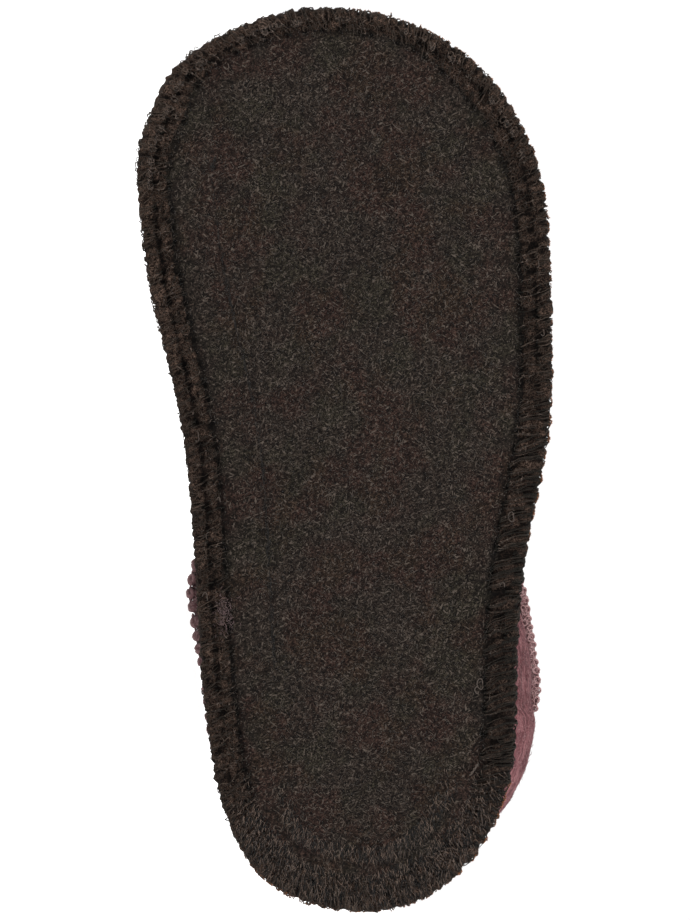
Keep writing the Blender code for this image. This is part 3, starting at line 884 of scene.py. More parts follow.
def make_sole_yarn():
    rng = np.random.default_rng(21)
    m = N_STITCH
    j = lambda amount: amount * rng.standard_normal(m)
    top = SOLE_THICKNESS + GAP + WALL
    knot = twice(STITCH_S)
    # long stitches: out of a pit in the felt, along the underside, round the edge to the top
    slant = 2.0 + j(0.40)
    rise, proud = 0.32 + j(0.08), 0.10 + j(0.07) + 0.10 * wavy(STITCH_S, 14.0, 6)
    z = 0 * slant
    ctrl = np.stack([
        np.stack([PIT_IN + 0.05, 1.20 + z, 0.62 * slant], -1),
        np.stack([PIT_IN - 0.10, 0.30 + z, 0.56 * slant], -1),
        np.stack([PIT_IN - 0.70, -rise + 0.02, 0.42 * slant + j(0.10)], -1),
        np.stack([0.68 * PIT_IN, -rise - 0.17, 0.18 * slant + j(0.16)], -1),
        np.stack([0.43 * PIT_IN + j(0.10), -rise + 0.50 * knot, -0.10 * slant + j(0.16)], -1),
        np.stack([1.25 + z, -0.42 + z, -0.32 * slant + j(0.12)], -1),
        np.stack([0.25 - 0.5 * proud, -0.08 + z, -0.48 * slant], -1),
        np.stack([-0.26 - proud, 1.2 + z, -0.60 * slant], -1),
        np.stack([-0.36 - proud, 3.4 + z, -0.75 * slant + j(0.1)], -1),
        np.stack([-0.26 - 0.7 * proud, 6.0 + z, -0.90 * slant], -1),
        np.stack([0.6 + z, top + 0.30 + z, -1.05 * slant], -1),
        np.stack([2.6 + z, top + 0.48 + j(0.08), -1.2 * slant], -1),
        np.stack([4.1 + j(0.2), top + 0.10 + z, -1.35 * slant], -1),
        np.stack([4.5 + z, top - 0.7 + z, -1.4 * slant], -1)], 1)
    lines = lines_show(STITCH_S) > 0.35
    long_parts, parts = [], []

    def strands(into, s0, ctrl, samples, settings):
        path, side = round_sole(s0, ctrl, samples)
        wall = ramp(0.3, 1.5, path[..., 2] - underside(path[..., 0]))
        for which, count, width, radius, pinch, loose, weave, tone in settings:
            w = wall[which]
            into += wisps(path[which], side[which], count, width * (1 - (0.50 if which is lines else 0.15) * w),
                          radius, rng, pinch=pinch, loose=loose * (1 - 0.6 * w), weave=weave * (1 - 0.9 * w), tone=tone,
                          crown=0.05 + (0.26 if which is lines else 0.06) * w)

    strands(long_parts, STITCH_S, ctrl, 21, ((lines, 8, 1.65, 0.095, 0.45, 0.08, 0.06, (0.66, 0.48)),
                                             (~lines, 3, 1.9, 0.10, 0.1, 0.20, 0.30, (0.85, 0.30))))
    # short stitches between them, round the edge only
    s1 = STITCH_S + 0.5 * STITCH + j(0.15)
    proud = 0.10 + j(0.08) + 0.10 * wavy(s1, 14.0, 6)
    lean = 1.0 + j(0.25)
    reach = 2.15 + j(0.25)
    ctrl = np.stack([
        np.stack([reach, 0.85 + z, 0.55 * lean], -1),
        np.stack([reach - 0.30, 0.0 + z, 0.40 * lean], -1),
        np.stack([1.15 + z, -0.36 + j(0.06), 0.20 * lean], -1),
        np.stack([0.25 - 0.5 * proud, -0.05 + z, 0.0 * lean], -1),
        np.stack([-0.24 - proud, 1.2 + z, -0.15 * lean], -1),
        np.stack([-0.34 - proud, 3.6 + z, -0.4 * lean + j(0.1)], -1),
        np.stack([-0.24 - 0.7 * proud, 6.0 + z, -0.7 * lean], -1),
        np.stack([0.7 + z, top + 0.28 + z, -0.9 * lean], -1),
        np.stack([2.4 + z, top + 0.40 + j(0.08), -1.1 * lean], -1),
        np.stack([3.5 + j(0.2), top - 0.6 + z, -1.3 * lean], -1)], 1)
    strands(parts, s1, ctrl, 15, ((lines, 5, 0.95, 0.11, 0.2, 0.06, 0.03, (0.60, 0.42)),
                                  (~lines, 3, 1.1, 0.12, 0.1, 0.16, 0.14, (0.85, 0.30))))
    # small curls of the curly yarn round the toe
    n = 90
    sc = rng.uniform(0, SOLE_EDGE.length, 900)
    sc = sc[SOLE_EDGE.point(sc)[:, 0] > 140][:n, None]
    n = len(sc)
    a = np.linspace(0, 2 * math.pi * 1.1, 12)[None] + rng.uniform(0, 2 * math.pi, (n, 1))
    size = rng.uniform(0.35, 0.65, (n, 1)) * (1 + 0.2 * np.sin(2 * a + 1.0))
    curl = np.stack([rng.uniform(0.35, 2.4, (n, 1)) + size * np.cos(a),
                     -0.50 + 0.25 * rng.standard_normal((n, 1)) + 0.3 * size * np.sin(a + 1.0), size * np.sin(a)], -1)
    parts.append(tubes(lay_on_edge(sc + curl[..., 2], curl[..., 0], curl[..., 1]), 0.16, 5))

    def finish(name, group):
        v, f, uv = merge(group)
        # painted shade: strands are darkened on the side that faces the felt and where they dive into it
        open_side = (uv[:, 2:5] * unit(away_from_sole(v))).sum(1)
        low = v[:, 2] - underside(v[:, 0])
        under = (low < 2.0) & (inset_of(v) > 1.3)
        dive = np.where(under, np.clip((0.05 - low) / 0.40, 0.04, 1.0), 1.0)
        # painted light and shade: on the outer side they are brightest near the felt and darker towards the edge,
        # darker still in the band's hollows, times the painted light by place
        i, inset = near_edge(v)
        s = SOLE_EDGE.s[::16][:-1][i]
        firm = lines_show(s)
        slope = (1 + 0.15 * firm) * (1 - 0.50 * firm * (1 - ramp(1.6, 4.4, inset)))
        slope = slope * (1 - 0.75 * (1 - 0.6 * firm) * np.where(low < 1.2, dots(s, inset), 0))
        shade = (0.12 + 0.88 * np.clip(open_side, 0, 1)) * dive * slope * painted_light(v) * uv[:, 5]
        piece(name, v, f, SOLE_YARN, uv=uv, shade=shade)
        return v, shade

    va, sha = finish("sole_yarn_long", long_parts)
    vb, shb = finish("sole_yarn_short", parts)
    v, shade = np.concatenate([va, vb]), np.concatenate([sha, shb])
    # matted yarn under the strands, round the edge
    prof = [(5.35, 0.9, 0.0), (5.2, 0.42, 0.4), (4.8, 0.14, 1), (4.3, -0.02, 1), (3.8, -0.08, 1), (3.3, -0.10, 1),
            (2.8, -0.08, 1), (2.3, -0.04, 1), (1.8, -0.12, 1), (1.2, -0.24, 1), (0.65, -0.16, 1), (0.2, 0.12, 1),
            (-0.12, 0.65, 1), (-0.28, 1.4, 1), (-0.36, 2.5, 1), (-0.38, 3.7, 1), (-0.36, 4.9, 1), (-0.28, 6.0, 1),
            (0.0, 6.9, 1), (0.6, 7.45, 1), (1.5, 7.62, 1), (2.5, 7.65, 1), (3.4, 7.6, 0.6), (3.9, 7.3, 0.0),
            (2.0, 5.6, 0.0), (2.2, 2.0, 0.0)]
    half = 0.5 * STITCH

    def drawn_in(s, inset):
        return np.where(inset > 1.5, 1.5 + (inset - 1.5) * (pit_at(s) - 1.5) / (PIT - 1.5), inset)

    def lay_mat(s, inset, height):
        return lay_on_edge(s, drawn_in(s, inset), height)

    def lobes(s, base):
        """Ridges under the strands: one per long stitch on the underside, two on the edge."""
        inset = np.array(prof)[None, :, 0] + 0 * base[..., 2]
        height = np.array(prof)[None, :, 1] + 0 * base[..., 2]
        rim = 1 - ramp(0.7, 1.9, inset)
        slide = np.where(inset > 0.5, 0.36 * (inset - 2.6) * 1.0, -0.75 - 0.12 * height)
        d = np.clip(to_nearest(s - slide, STITCH_S) / half, 0, 1)
        one = 1 - 2 * d ** 3
        two = np.cos(2 * math.pi * d)
        firm = lines_show(s + 0 * inset)
        outer = ramp(0, 20, base[..., 1])
        one, two = one * (0.25 + 0.75 * firm), two * (0.8 + 0.2 * outer)
        under = np.where(height < 1.0, dots(s + 0 * inset, drawn_in(s, inset)), 0)
        return (1 - rim) * (0.24 * one + 0.03 * (1 - firm)) + rim * ((0.18 + 0.10 * outer) * two + 0.05) - 0.62 * under

    v2, f2, uv2, sh2, n2 = roll(SOLE_EDGE, lay_mat, prof, STITCH, 0.34, 1320, lobes)
    columns, r = len(v2) // len(prof), len(prof)
    row = np.tile(np.arange(r), columns)
    s2 = np.repeat(np.arange(columns), r) / columns * SOLE_EDGE.length
    # painted shade: the mat is darkened in the band's hollows
    h2 = v2[:, 2] - underside(v2[:, 0])
    dark = np.where(h2 < 1.0, dots(s2, drawn_in(s2, np.tile(np.array(prof)[:, 0], columns))), 0)
    sh2 = sh2 * (1 - 0.8 * dark)
    piece("sole_yarn_mat", v2, f2, SOLE_MAT, uv=uv2, shade=sh2 * painted_light(v2))
    # short curls that cover the mat wherever it is frizzy
    keep = (row >= 2) & (row <= 21) & (sh2 > 0.34)
    weight = keep * (1 - dark) ** 3 * (1 - 0.93 * lines_show(s2)) * np.where(h2 < 1.2, 1.0, 0.28) * (1 + 0.8 * (row > 12) * (row < 17))
    n = FRIZZ
    pick = rng.choice(len(v2), n, p=weight / weight.sum())
    nn = n2[pick]
    d = unit(np.cross(nn, rng.standard_normal((n, 3))))
    e = np.cross(nn, d)
    u = np.linspace(0, 1, 6)[None]
    turn = rng.uniform(0.9, 3.4, (n, 1)) * np.sign(rng.uniform(-1, 1, (n, 1)))
    rad = rng.uniform(0.9, 1.7, (n, 1)) / np.abs(turn)
    rad = np.minimum(rad, 0.8)
    ang = turn * (u - 0.5)
    rim = inset_of(v2[pick])[:, None] < 1.4   # round the rim they are small and lie flat
    lie = np.where(rim, 0.0, 0.12)
    rad = np.where(rim, np.minimum(rad, 0.50), rad)
    path = v2[pick][:, None] + (rad * np.sin(ang))[..., None] * d[:, None] \
        + (rad * (1 - np.cos(ang)))[..., None] * e[:, None] \
        + (lie + 0.5 * np.maximum(lie, 0.06) * rng.standard_normal((n, 1)) - 0.30 * (2 * u - 1) ** 4
           - np.where(rim, 0.9, 0.0) * rad ** 2 * (1 - np.cos(ang)))[..., None] * nn[:, None]
    vf, ff, uvf = tubes(path, 0.095 * (1 + 0.2 * rng.standard_normal((n, 1))), 3)
    tone = np.repeat(np.clip(0.76 + 0.33 * rng.standard_normal(n), 0.2, 1.6), 6 * 3)
    # painted shade: curls are darker where they face into the mat, times the painted light by place and a random tone
    # per curl
    facing = np.clip((uvf[:, 2:5] * np.repeat(nn, 18, 0)).sum(1), 0, 1)
    piece("sole_yarn_frizz", vf, ff, SOLE_YARN, uv=uvf, shade=(0.25 + 0.75 * facing) * painted_light(vf) * tone)
    # a few pale curls and one twisted end that lie on the band
    n = 14
    sc, ins = rng.uniform(0, SOLE_EDGE.length, n), rng.uniform(1.0, 5.0, n)
    c = SOLE_EDGE.point(sc) - ins[:, None] * SOLE_EDGE.normal(sc)
    c = np.concatenate([c, [[72.8, 31.2], [41.3, 22.9], [40.2, 22.2]]])
    size = np.concatenate([rng.uniform(0.4, 0.8, n), [0.80, 0.85, 0.55]])[:, None]
    turns = np.concatenate([rng.uniform(0.3, 0.7, n), [1.05, 0.95, 0.8]])
    n = len(c)
    a = 2 * math.pi * turns[:, None] * np.linspace(0, 1, 13)[None] + rng.uniform(0, 6.3, (n, 1))
    size = size * (1 + 0.22 * np.sin(2 * a + 1.7) + 0.10 * np.sin(3 * a))
    pts = np.stack([c[:, :1] + size * np.cos(a), c[:, 1:] + 0.8 * size * np.sin(a),
                    underside(c[:, :1]) - 0.66 + 0.16 * np.cos(a + 2)], -1)
    curls = [tubes(pts, 0.085, 4)]
    u = np.linspace(0, 1, 13)
    for turn in (0.0, math.pi):
        line = np.stack([26.2 - 2.2 * u + 0.16 * np.cos(11 * u + turn), 21.4 - 1.7 * u + 0.16 * np.sin(11 * u + turn),
                         -0.80 + 0.16 * np.sin(11 * u + turn)], -1)
        curls.append(tubes(line[None], 0.10, 5))
    v3, f3, uv3 = merge(curls)
    piece("sole_yarn_curls", v3, f3, fibre_material("sole_yarn_curls", lin(92, 81, 74, K)))
    for name, n, colour in (("sole_nap_light", 1600, lin(140, 120, 107, K)), ("sole_nap_dark", 2800, lin(10, 7, 5, K))):
        sn, ins = rng.uniform(0, SOLE_EDGE.length, 40 * n), rng.uniform(0.4, 12.0, 40 * n)
        c = SOLE_EDGE.point(sn) - ins[:, None] * SOLE_EDGE.normal(sn)
        ok = np.nonzero((rng.uniform(0, 1, 40 * n) < 1 - ramp(13, 27, c[:, 0])) & (np.abs(ins - 8.2) > 0.55))[0][:n]
        c, ins, n = c[ok], ins[ok], len(ok)
        base = np.concatenate([c, -0.06 - 0.42 * (1 - ramp(4.4, 5.8, ins))[:, None] - 0.12 * rng.uniform(0, 1, (n, 1))], 1)
        way = np.stack([-1 + 0.1 * rng.standard_normal(n), 0.05 * c[:, 1] / 3 + 0.42 * rng.standard_normal(n),
                        -0.10 + 0.10 * rng.standard_normal(n)], -1)
        v5, f5, _ = needles(base, unit(way) * rng.uniform(0.7, 1.9, (n, 1)), 0.052 if "light" in name else 0.075)
        piece(name, v5, f5, fibre_material(name, colour))
    n = 170
    c = np.array([58.3, -24.9]) + rng.standard_normal((n, 2)) * (1.9, 0.9)
    base = np.concatenate([c, underside(c[:, :1]) - 0.52 - 0.12 * rng.uniform(0, 1, (n, 1))], 1)
    way = rng.standard_normal((n, 3)) * (0.45, 0.45, 0.05)
    v4, f4, _ = needles(base, way, 0.055, rng.standard_normal((n, 3)) * (0.2, 0.2, 0.03))
    piece("sole_mauve_fluff", v4, f4, fibre_material("sole_mauve_fluff", lin(124, 102, 102, K)))
    rim = np.concatenate([v, v2])
    return v, shade, rim[inset_of(rim) < -0.56]


# ------------------------------------------------------------------ the upper
CREASES = (
    # points (x, y, z), depth (negative is a trough), width; in mm
    (((100, -30, 26), (101, -14, 47), (101, 2, 51), (100, 18, 47), (99, 33, 25)), -0.9, 3.4),
    (((107, -31, 22), (109, -15, 44), (110, 3, 49), (108, 20, 44), (106, 35, 22)), 0.5, 4.2),
    (((116, -32, 18), (118, -16, 40), (119, 4, 46), (117, 22, 40), (113, 37, 18)), -0.7, 3.8),
    (((134, -28, 22), (137, -10, 36), (137, 8, 38), (134, 26, 28)), -0.5, 4.5),
    (((72, -31, 38), (78, -33, 27), (86, -33, 17)), -0.9, 2.8),
    (((70, 33, 39), (77, 38, 28), (84, 40, 17)), -0.8, 2.8),
    (((60, -31, 36), (63, -33, 26), (70, -33, 15)), -0.7, 3.0),
    (((58, 34, 36), (60, 37, 25), (64, 39, 15)), -0.6, 3.0),
    (((38, -33, 20), (46, -33, 15), (56, -32, 13)), -0.6, 2.6),
    (((28, 33, 16), (38, 36, 13), (50, 37, 12)), -0.7, 2.4),
    (((33, 36, 24), (34, 37, 16), (35, 36, 10)), -0.8, 1.9),
    (((20, -29, 34), (13, -23, 31), (5, -11, 30), (2, 0, 30)), -0.6, 3.2),
    (((18, 31, 28), (11, 24, 27), (4, 11, 27), (1, 0, 27)), -0.6, 3.2),
    (((8, -17, 43), (6, -12, 34), (5, -10, 24)), -0.5, 2.6),
    (((7, 17, 42), (5, 13, 33), (4, 11, 23)), -0.5, 2.6),
    (((148, -22, 20), (152, -12, 25), (154, 2, 27), (152, 16, 24)), 0.5, 5.0),
    (((92, -28, 44), (97, -20, 50), (101, -12, 52)), 0.4, 3.0),
    (((92, 28, 44), (97, 21, 50), (101, 12, 52)), 0.4, 3.0),
)


def crease_relief(p):
    out = np.zeros(len(p))
    for line, depth, width in CREASES:
        line = smooth_path(np.array([line], float), 25)[0]
        best, where = np.full(len(p), 1e9), np.zeros(len(p))
        near = np.nonzero((p > line.min(0) - 4 * width).all(1) & (p < line.max(0) + 4 * width).all(1))[0]
        if not len(near):
            continue
        q, b, w = p[near], best[near], where[near]
        for k in range(len(line) - 1):
            a, d = line[k], line[k + 1] - line[k]
            u = np.clip(((q - a) @ d) / (d @ d), 0, 1)
            dist = np.linalg.norm(q - a - u[:, None] * d, axis=1)
            closer = dist < b
            b = np.where(closer, dist, b)
            w = np.where(closer, (k + u) / (len(line) - 1), w)
        fade = np.clip(np.minimum(w, 1 - w) / 0.22, 0, 1)
        fade = fade * fade * (3 - 2 * fade)
        out[near] += depth * fade * np.exp(-np.maximum(b - 1.0, 0) ** 2 / width ** 2)
    return out


def hollow(p):
    """Slack place on the outer side behind the collar's widest part, and the fold behind it."""
    x, y, z = p[:, 0], p[:, 1], p[:, 2]
    out = -0.95 * ramp(34.0, 37.5, x) * (1 - ramp(62.0, 70.0, x)) * ramp(9.0, 16.0, z) * (1 - 0.35 * ramp(36, 43, z))
    out += -0.5 * np.exp(-((x - 35.5 + 0.12 * (z - 25)) / 1.1) ** 2) * ramp(10.0, 15.0, z)
    out += 0.18 * np.exp(-((x - 32.5 + 0.12 * (z - 25)) / 1.6) ** 2) * ramp(10.0, 15.0, z)
    out += 0.34 * ramp(14.0, 22.0, x) * (1 - ramp(33.5, 36.5, x)) * ramp(10.0, 17.0, z)
    return np.where(y > 0, out, 0.0)


def upper_rows(t, bezier_rows=64):
    """Outer surface of the upper: (rows, columns, 3), from the flange's edge to the collar."""
    a, side = fold(t)
    edge, out2 = sole_ring(t), ring_normal(sole_ring, t)
    out = np.concatenate([out2, np.zeros((len(t), 1))], 1)
    pick = lambda m, l: np.where(side > 0, l(a), m(a))
    foot_out, foot_up = pick(FOOT_MEDIAL, FOOT_LATERAL), FOOT_UP(a)
    rim_out, rim_down = pick(RIM_MEDIAL, RIM_LATERAL), RIM_DOWN(a)
    level = underside(edge[:, 0]) + SOLE_THICKNESS + GAP + WALL

    def at(inset, z):
        return np.concatenate([edge, z[:, None]], 1) - np.broadcast_to(inset, (len(t),))[:, None] * out

    rows = [at(d, level) for d in np.linspace(GAP, FLANGE, 5)]
    lean = math.pi / 2 + np.arctan2(foot_out, foot_up)
    for k in range(1, 9):
        q = lean * k / 8
        rows.append(at(FLANGE + CREASE_RADIUS * np.sin(q), level + CREASE_RADIUS * (1 - np.cos(q))))
    p0 = rows[-1]
    rim = angle_of(WALL_COLLAR(a))
    tc = np.where(side > 0, 2 * math.pi - rim, rim)
    p3 = collar_ring(tc)
    rn = ring_normal(collar_ring, tc)
    p1 = p0 + foot_out[:, None] * out + foot_up[:, None] * UP
    p2 = p3 + rim_out[:, None] * np.concatenate([rn, 0 * rn[:, :1]], 1) - rim_down[:, None] * UP
    for k in range(1, bezier_rows + 1):
        s = k / bezier_rows
        rows.append((1 - s) ** 3 * p0 + 3 * s * (1 - s) ** 2 * p1 + 3 * s * s * (1 - s) * p2 + s ** 3 * p3)
    return np.stack(rows), tc


def surface_normals(rows):
    """Outward normals of a (rows, ring, 3) surface."""
    du = np.gradient(rows, axis=0)
    dv = np.roll(rows, -1, 1) - np.roll(rows, 1, 1)
    n = unit(np.cross(du, dv))
    mid = rows[len(rows) // 2]
    centre = mid.mean(0)
    if ((mid - centre) * n[len(rows) // 2]).sum() < 0:
        n = -n
    return n


def make_upper():
    columns = 400
    s = np.arange(columns) / columns * SOLE_EDGE.length
    t = SOLE_EDGE.param(s)
    rows, tc = upper_rows(t)
    n = surface_normals(rows)
    k = len(rows)
    inner = rows - WALL * n
    # relief of the outer face
    flat, nf = rows.reshape(-1, 3), n.reshape(-1, 3)
    lumps = (0.16 * noise(flat, 7.0, 1) + 0.11 * noise(flat, 3.1, 2) + 0.06 * noise(flat, 1.6, 3))
    lift = np.linspace(0, 1, k)[:, None]
    height = (flat[:, 2].reshape(k, columns) - rows[0][:, 2][None]) / 9.0
    pucker = 0.22 * np.exp(-np.maximum(height, 0) ** 1.5) * np.cos(
        2 * math.pi * s / (2 * STITCH) + 1.3 * wavy(s, 15.0, 9))[None] * np.clip(height * 4, 0, 1)
    folds = crease_relief(flat)
    relief = (lumps + folds + hollow(flat)).reshape(k, columns) * np.clip(height * 3, 0.15, 1.0) + pucker
    # centre-back seam: a shallow furrow with a soft lip at each side
    back = np.minimum(s, SOLE_EDGE.length - s)[None]
    relief = relief + np.where(lift > 0.12, -0.75 * np.exp(-(back / 0.9) ** 2)
                               + 0.40 * np.exp(-((back - 2.0) / 1.1) ** 2), 0.0)
    outer = rows + relief[..., None] * n
    inner = inner + (0.10 * noise(inner.reshape(-1, 3), 5.0, 8)
                     + 0.55 * folds + 0.8 * hollow(flat)).reshape(k, columns)[..., None] * n
    # rounded rim at the collar and rounded flange edge
    tangent = unit(outer[-1] - outer[-4])
    mid, half = (outer[-1] + inner[-1]) / 2, (outer[-1] - inner[-1]) / 2
    r = np.linalg.norm(half, axis=1, keepdims=True)
    arc = [mid + math.cos(q) * half + math.sin(q) * 0.8 * r * tangent for q in np.linspace(0, math.pi, 9)[1:-1]]
    arc = [a - 0.9 * r * tangent * 0 for a in arc]
    tang0 = unit(outer[0] - outer[1])
    mid0, half0 = (outer[0] + inner[0]) / 2, (outer[0] - inner[0]) / 2
    r0 = np.linalg.norm(half0, axis=1, keepdims=True)
    arc0 = [mid0 - math.cos(q) * half0 + math.sin(q) * 0.2 * r0 * tang0 for q in np.linspace(0, math.pi, 5)[1:-1]]
    keep = [0, 2, 4] + list(range(5, k, 2))
    if keep[-1] != k - 1:
        keep.append(k - 1)
    loop = np.concatenate([outer, np.stack(arc), inner[keep][::-1], np.stack(arc0)])
    m = len(loop)
    idx = np.arange(m * columns).reshape(m, columns)
    up = np.roll(idx, -1, 0)
    f = [np.stack([idx, np.roll(idx, -1, 1), np.roll(up, -1, 1), up], -1).reshape(-1, 4)]
    v = loop.reshape(-1, 3)
    # painted shade: darker in sunken creases and hollows, and darker low down next to the sole
    sunk = np.clip(relief, -1.2, 0.4).reshape(-1)
    shade = np.ones(len(v))
    shade[:k * columns] = np.clip(1.0 + 0.22 * sunk, 0.6, 1.0) * (1 - 0.45 * np.exp(-np.maximum(height, 0) * 5)).reshape(-1)
    piece("upper_wool", v, outward(v, f), WOOL, "upper", shade=shade)
    return outer, n, tc, s


# ------------------------------------------------------------------ collar yarn
def REACH(s):
    """How far the yarn stands out from the middle of the rim, by place along the collar."""
    p = COLLAR_EDGE.point(s)
    outer = np.interp(p[..., 0], (0, 25, 31, 35, 38, 41, 45, 52, 58, 63, 68, 75, 95),
                      (1.45, 1.5, 2.3, 3.3, 3.35, 2.85, 2.2, 2.45, 3.3, 2.95, 2.3, 1.7, 1.6))
    inner = np.interp(p[..., 0], (0, 15, 25, 38, 45, 56, 62, 67, 75, 95),
                      (1.45, 1.7, 2.6, 3.1, 2.75, 2.9, 3.6, 3.5, 2.1, 1.6))
    return np.where(p[..., 1] > 0, outer, inner)


def round_collar(s0, ctrl, samples):
    """Paths given as (out, up, slide), measured from the middle of the upper's rim, and the way
    along the collar at each of their points."""
    path = smooth_path(ctrl, samples) if samples else ctrl
    s = s0[:, None] + path[..., 2]
    c, n = COLLAR_EDGE.point(s), COLLAR_EDGE.normal(s)
    n = np.concatenate([n, 0 * n[..., :1]], -1)
    return c + (path[..., :1] - WALL / 2) * n + path[..., 1:2] * UP, np.cross(UP, n)


def make_collar_yarn():
    rng = np.random.default_rng(33)
    # matted yarn on the rim, in soft lobes: small on the outer side, larger on the inner
    gap = lambda s: np.where(COLLAR_EDGE.point(s)[..., 1] > 0, 1.75, 2.75)
    marks = [0.0]
    while marks[-1] < COLLAR_EDGE.length:
        marks.append(marks[-1] + float(gap(np.array(marks[-1]))) * (1 + 0.10 * rng.standard_normal()))
    marks = np.array(marks)

    def place(s, out, up):
        c, n = COLLAR_EDGE.point(s), COLLAR_EDGE.normal(s)
        n = np.concatenate([n, 0 * n[..., :1]], -1)
        back_off = np.where(c[..., 1] > 0, 0.38, 0.42) * ramp(18, 34, c[..., 0])
        grow = np.where(out > 0.4, (REACH(s) - back_off) / 1.45, 1.0)
        return c + (out * grow - WALL / 2)[..., None] * n + up[..., None] * UP

    prof = [(-1.2, -4.2, 0.0), (-1.55, -3.6, 0.5), (-1.70, -2.6, 1), (-1.72, -1.5, 1), (-1.62, -0.5, 1), (-1.3, 0.35, 1),
            (-0.75, 0.85, 1), (0.0, 1.0, 1), (0.6, 0.80, 1), (1.05, 0.35, 1), (1.28, -0.25, 1), (1.38, -0.9, 1),
            (1.42, -1.6, 1), (1.42, -2.4, 1), (1.38, -3.1, 1), (1.22, -3.8, 1), (0.95, -4.35, 0.8), (0.75, -4.7, 0.2),
            (0.2, -3.6, 0.0), (-0.4, -3.4, 0.0)]

    def lobes(s, base):
        k = np.clip(np.searchsorted(marks, s), 1, len(marks) - 1)
        half = (marks[k] - marks[k - 1]) / 2
        d = np.abs(s - marks[k - 1] - half) / half
        return np.cos(math.pi * np.clip(d, 0, 1)) * np.where(base[..., 1] > 0, 0.24, 0.62) + 0.05

    v1, f1, uv1, sh1, _ = roll(COLLAR_EDGE, place, prof, COLLAR_STITCH, 0.34, 800, lobes)
    # painted shade: darker in the mat's hollows and a little darker on the inner side, which lies towards the floor
    piece("collar_yarn_mat", v1, f1, COLLAR_MAT, uv=uv1, shade=(0.35 + 0.65 * sh1) * (1 - 0.10 * (v1[:, 1] < 0)))
    # turns over the rim
    m = int(round(COLLAR_EDGE.length / COLLAR_STITCH))
    s0 = (np.arange(m) + 0.14 * rng.standard_normal(m)) * COLLAR_EDGE.length / m
    j = lambda amount: amount * rng.standard_normal(m)
    away = COLLAR_EDGE.point(s0)
    g = REACH(s0) - 0.05 + j(0.07) - np.where(away[:, 1] > 0, 0.40, 0.50) * ramp(18, 34, away[:, 0])
    lean = 0.9 + j(0.3)
    z = 0 * lean
    hang = -3.9 + j(0.35)
    ctrl = np.stack([
        np.stack([-0.8 + z, -4.3 + j(0.3), -0.9 * lean], -1),
        np.stack([-1.70 + z, -3.2 + z, -0.7 * lean], -1),
        np.stack([-1.85 + z, -1.3 + z, -0.4 * lean], -1),
        np.stack([-1.35 + z, 0.45 + j(0.12), -0.2 * lean], -1),
        np.stack([0.0 + z, 1.05 + j(0.12), 0.0 * lean], -1),
        np.stack([g - 0.45, 0.35 + j(0.12), 0.2 * lean], -1),
        np.stack([g, -1.3 + z, 0.4 * lean], -1),
        np.stack([g + 0.02, 0.75 * hang, 0.65 * lean], -1),
        np.stack([g - 0.5, hang - 0.35, 0.85 * lean], -1),
        np.stack([0.55 + z, hang - 0.15, 1.0 * lean], -1)], 1)
    path, side = round_collar(s0, ctrl, 15)
    parts = wisps(path, side, 4, 0.75, 0.13, rng, pinch=0.2, loose=0.07, tone=(0.88, 0.2))
    # loops that hang in a row at the lower edge: small and open on the outer side
    sr = np.sort(marks[:-1] + 0.5 * np.diff(marks))
    sr = sr[sr < COLLAR_EDGE.length]
    inner = COLLAR_EDGE.point(sr)[:, 1] < 0
    n = len(sr)
    a = np.linspace(0, 2 * math.pi * 1.05, 14)[None] + rng.uniform(0, 2 * math.pi, (n, 1))
    size = (np.where(inner, 0.46, 0.58) * (1 + 0.10 * rng.standard_normal(n)))[:, None]
    size = size * (1 + 0.10 * np.sin(2 * a + rng.uniform(0, 6, (n, 1))))
    for lower in (-4.2, -2.2):
        out = REACH(sr)[:, None] - np.where(inner, 0.66, 0.52)[:, None]
        ring = np.stack([out + size * np.cos(a), lower + 0.2 * rng.standard_normal((n, 1)) + 0.45 * np.sin(a + 0.5),
                         size * np.sin(a) * np.where(inner, 1.35, 1.0)[:, None]], -1)
        path, _ = round_collar(sr, ring, 0)
        v, f, uv = tubes(path, np.where(inner, 0.52, 0.20)[:, None] + 0 * a, 5)
        uv[:, 5] = np.repeat(np.where(inner, 1.0, 1.2), 14 * 5)
        parts.append((v, f, uv))
    # open curls of the looped yarn, most of them on the outer face and its lower edge
    n = 820
    sc = rng.uniform(0, COLLAR_EDGE.length, n)
    kind = rng.uniform(0, 1, n)
    outer, under = kind < 0.48, (kind >= 0.48) & (kind < 0.80)
    low = np.where(outer, rng.uniform(-4.2, 0.1, n), np.where(under, -4.55 - 0.35 * rng.uniform(0, 1, n),
                                                              rng.uniform(-3.0, 0.5, n)))[:, None]
    face = np.where(outer, REACH(sc) - np.where(COLLAR_EDGE.point(sc)[:, 1] > 0, 0.42, 0.65), np.where(under, rng.uniform(0.3, 0.66, n) * REACH(sc), -2.0))[:, None]
    a = np.linspace(0, 2 * math.pi * 1.12, 11)[None, :] + rng.uniform(0, 2 * math.pi, (n, 1))
    size = rng.uniform(0.42, 0.80, (n, 1))
    u, w = size * np.cos(a), size * np.sin(a) * rng.uniform(0.7, 1.0, (n, 1))
    tilt, yaw = rng.uniform(-0.6, 0.6, (n, 1)), rng.uniform(-0.5, 0.5, (n, 1))
    flat = under[:, None]
    bulge = (0.08 + 0.6 * (tilt * w + yaw * u)) * np.where(face > 0, 1, -1)
    up = np.where(flat, low + tilt * w, low + w)
    outw = np.where(flat, face + w, face + bulge)
    outw = outw - np.where(flat, 0, 0.8 * np.maximum(up + 0.3, 0) * np.sign(face))
    curl = np.stack([outw, up, u], -1)
    places = np.array([[56.5, 1.0], [54.4, 1.6], [51.8, 1.1], [48.6, 1.5], [46.0, 0.9], [43.2, 1.5], [59.5, 1.3]])
    half_ring = COLLAR_EDGE.s[COLLAR_EDGE.t > math.pi]
    sp = np.interp(places[:, 0], COLLAR_EDGE.p[COLLAR_EDGE.t > math.pi][::-1, 0], half_ring[::-1])
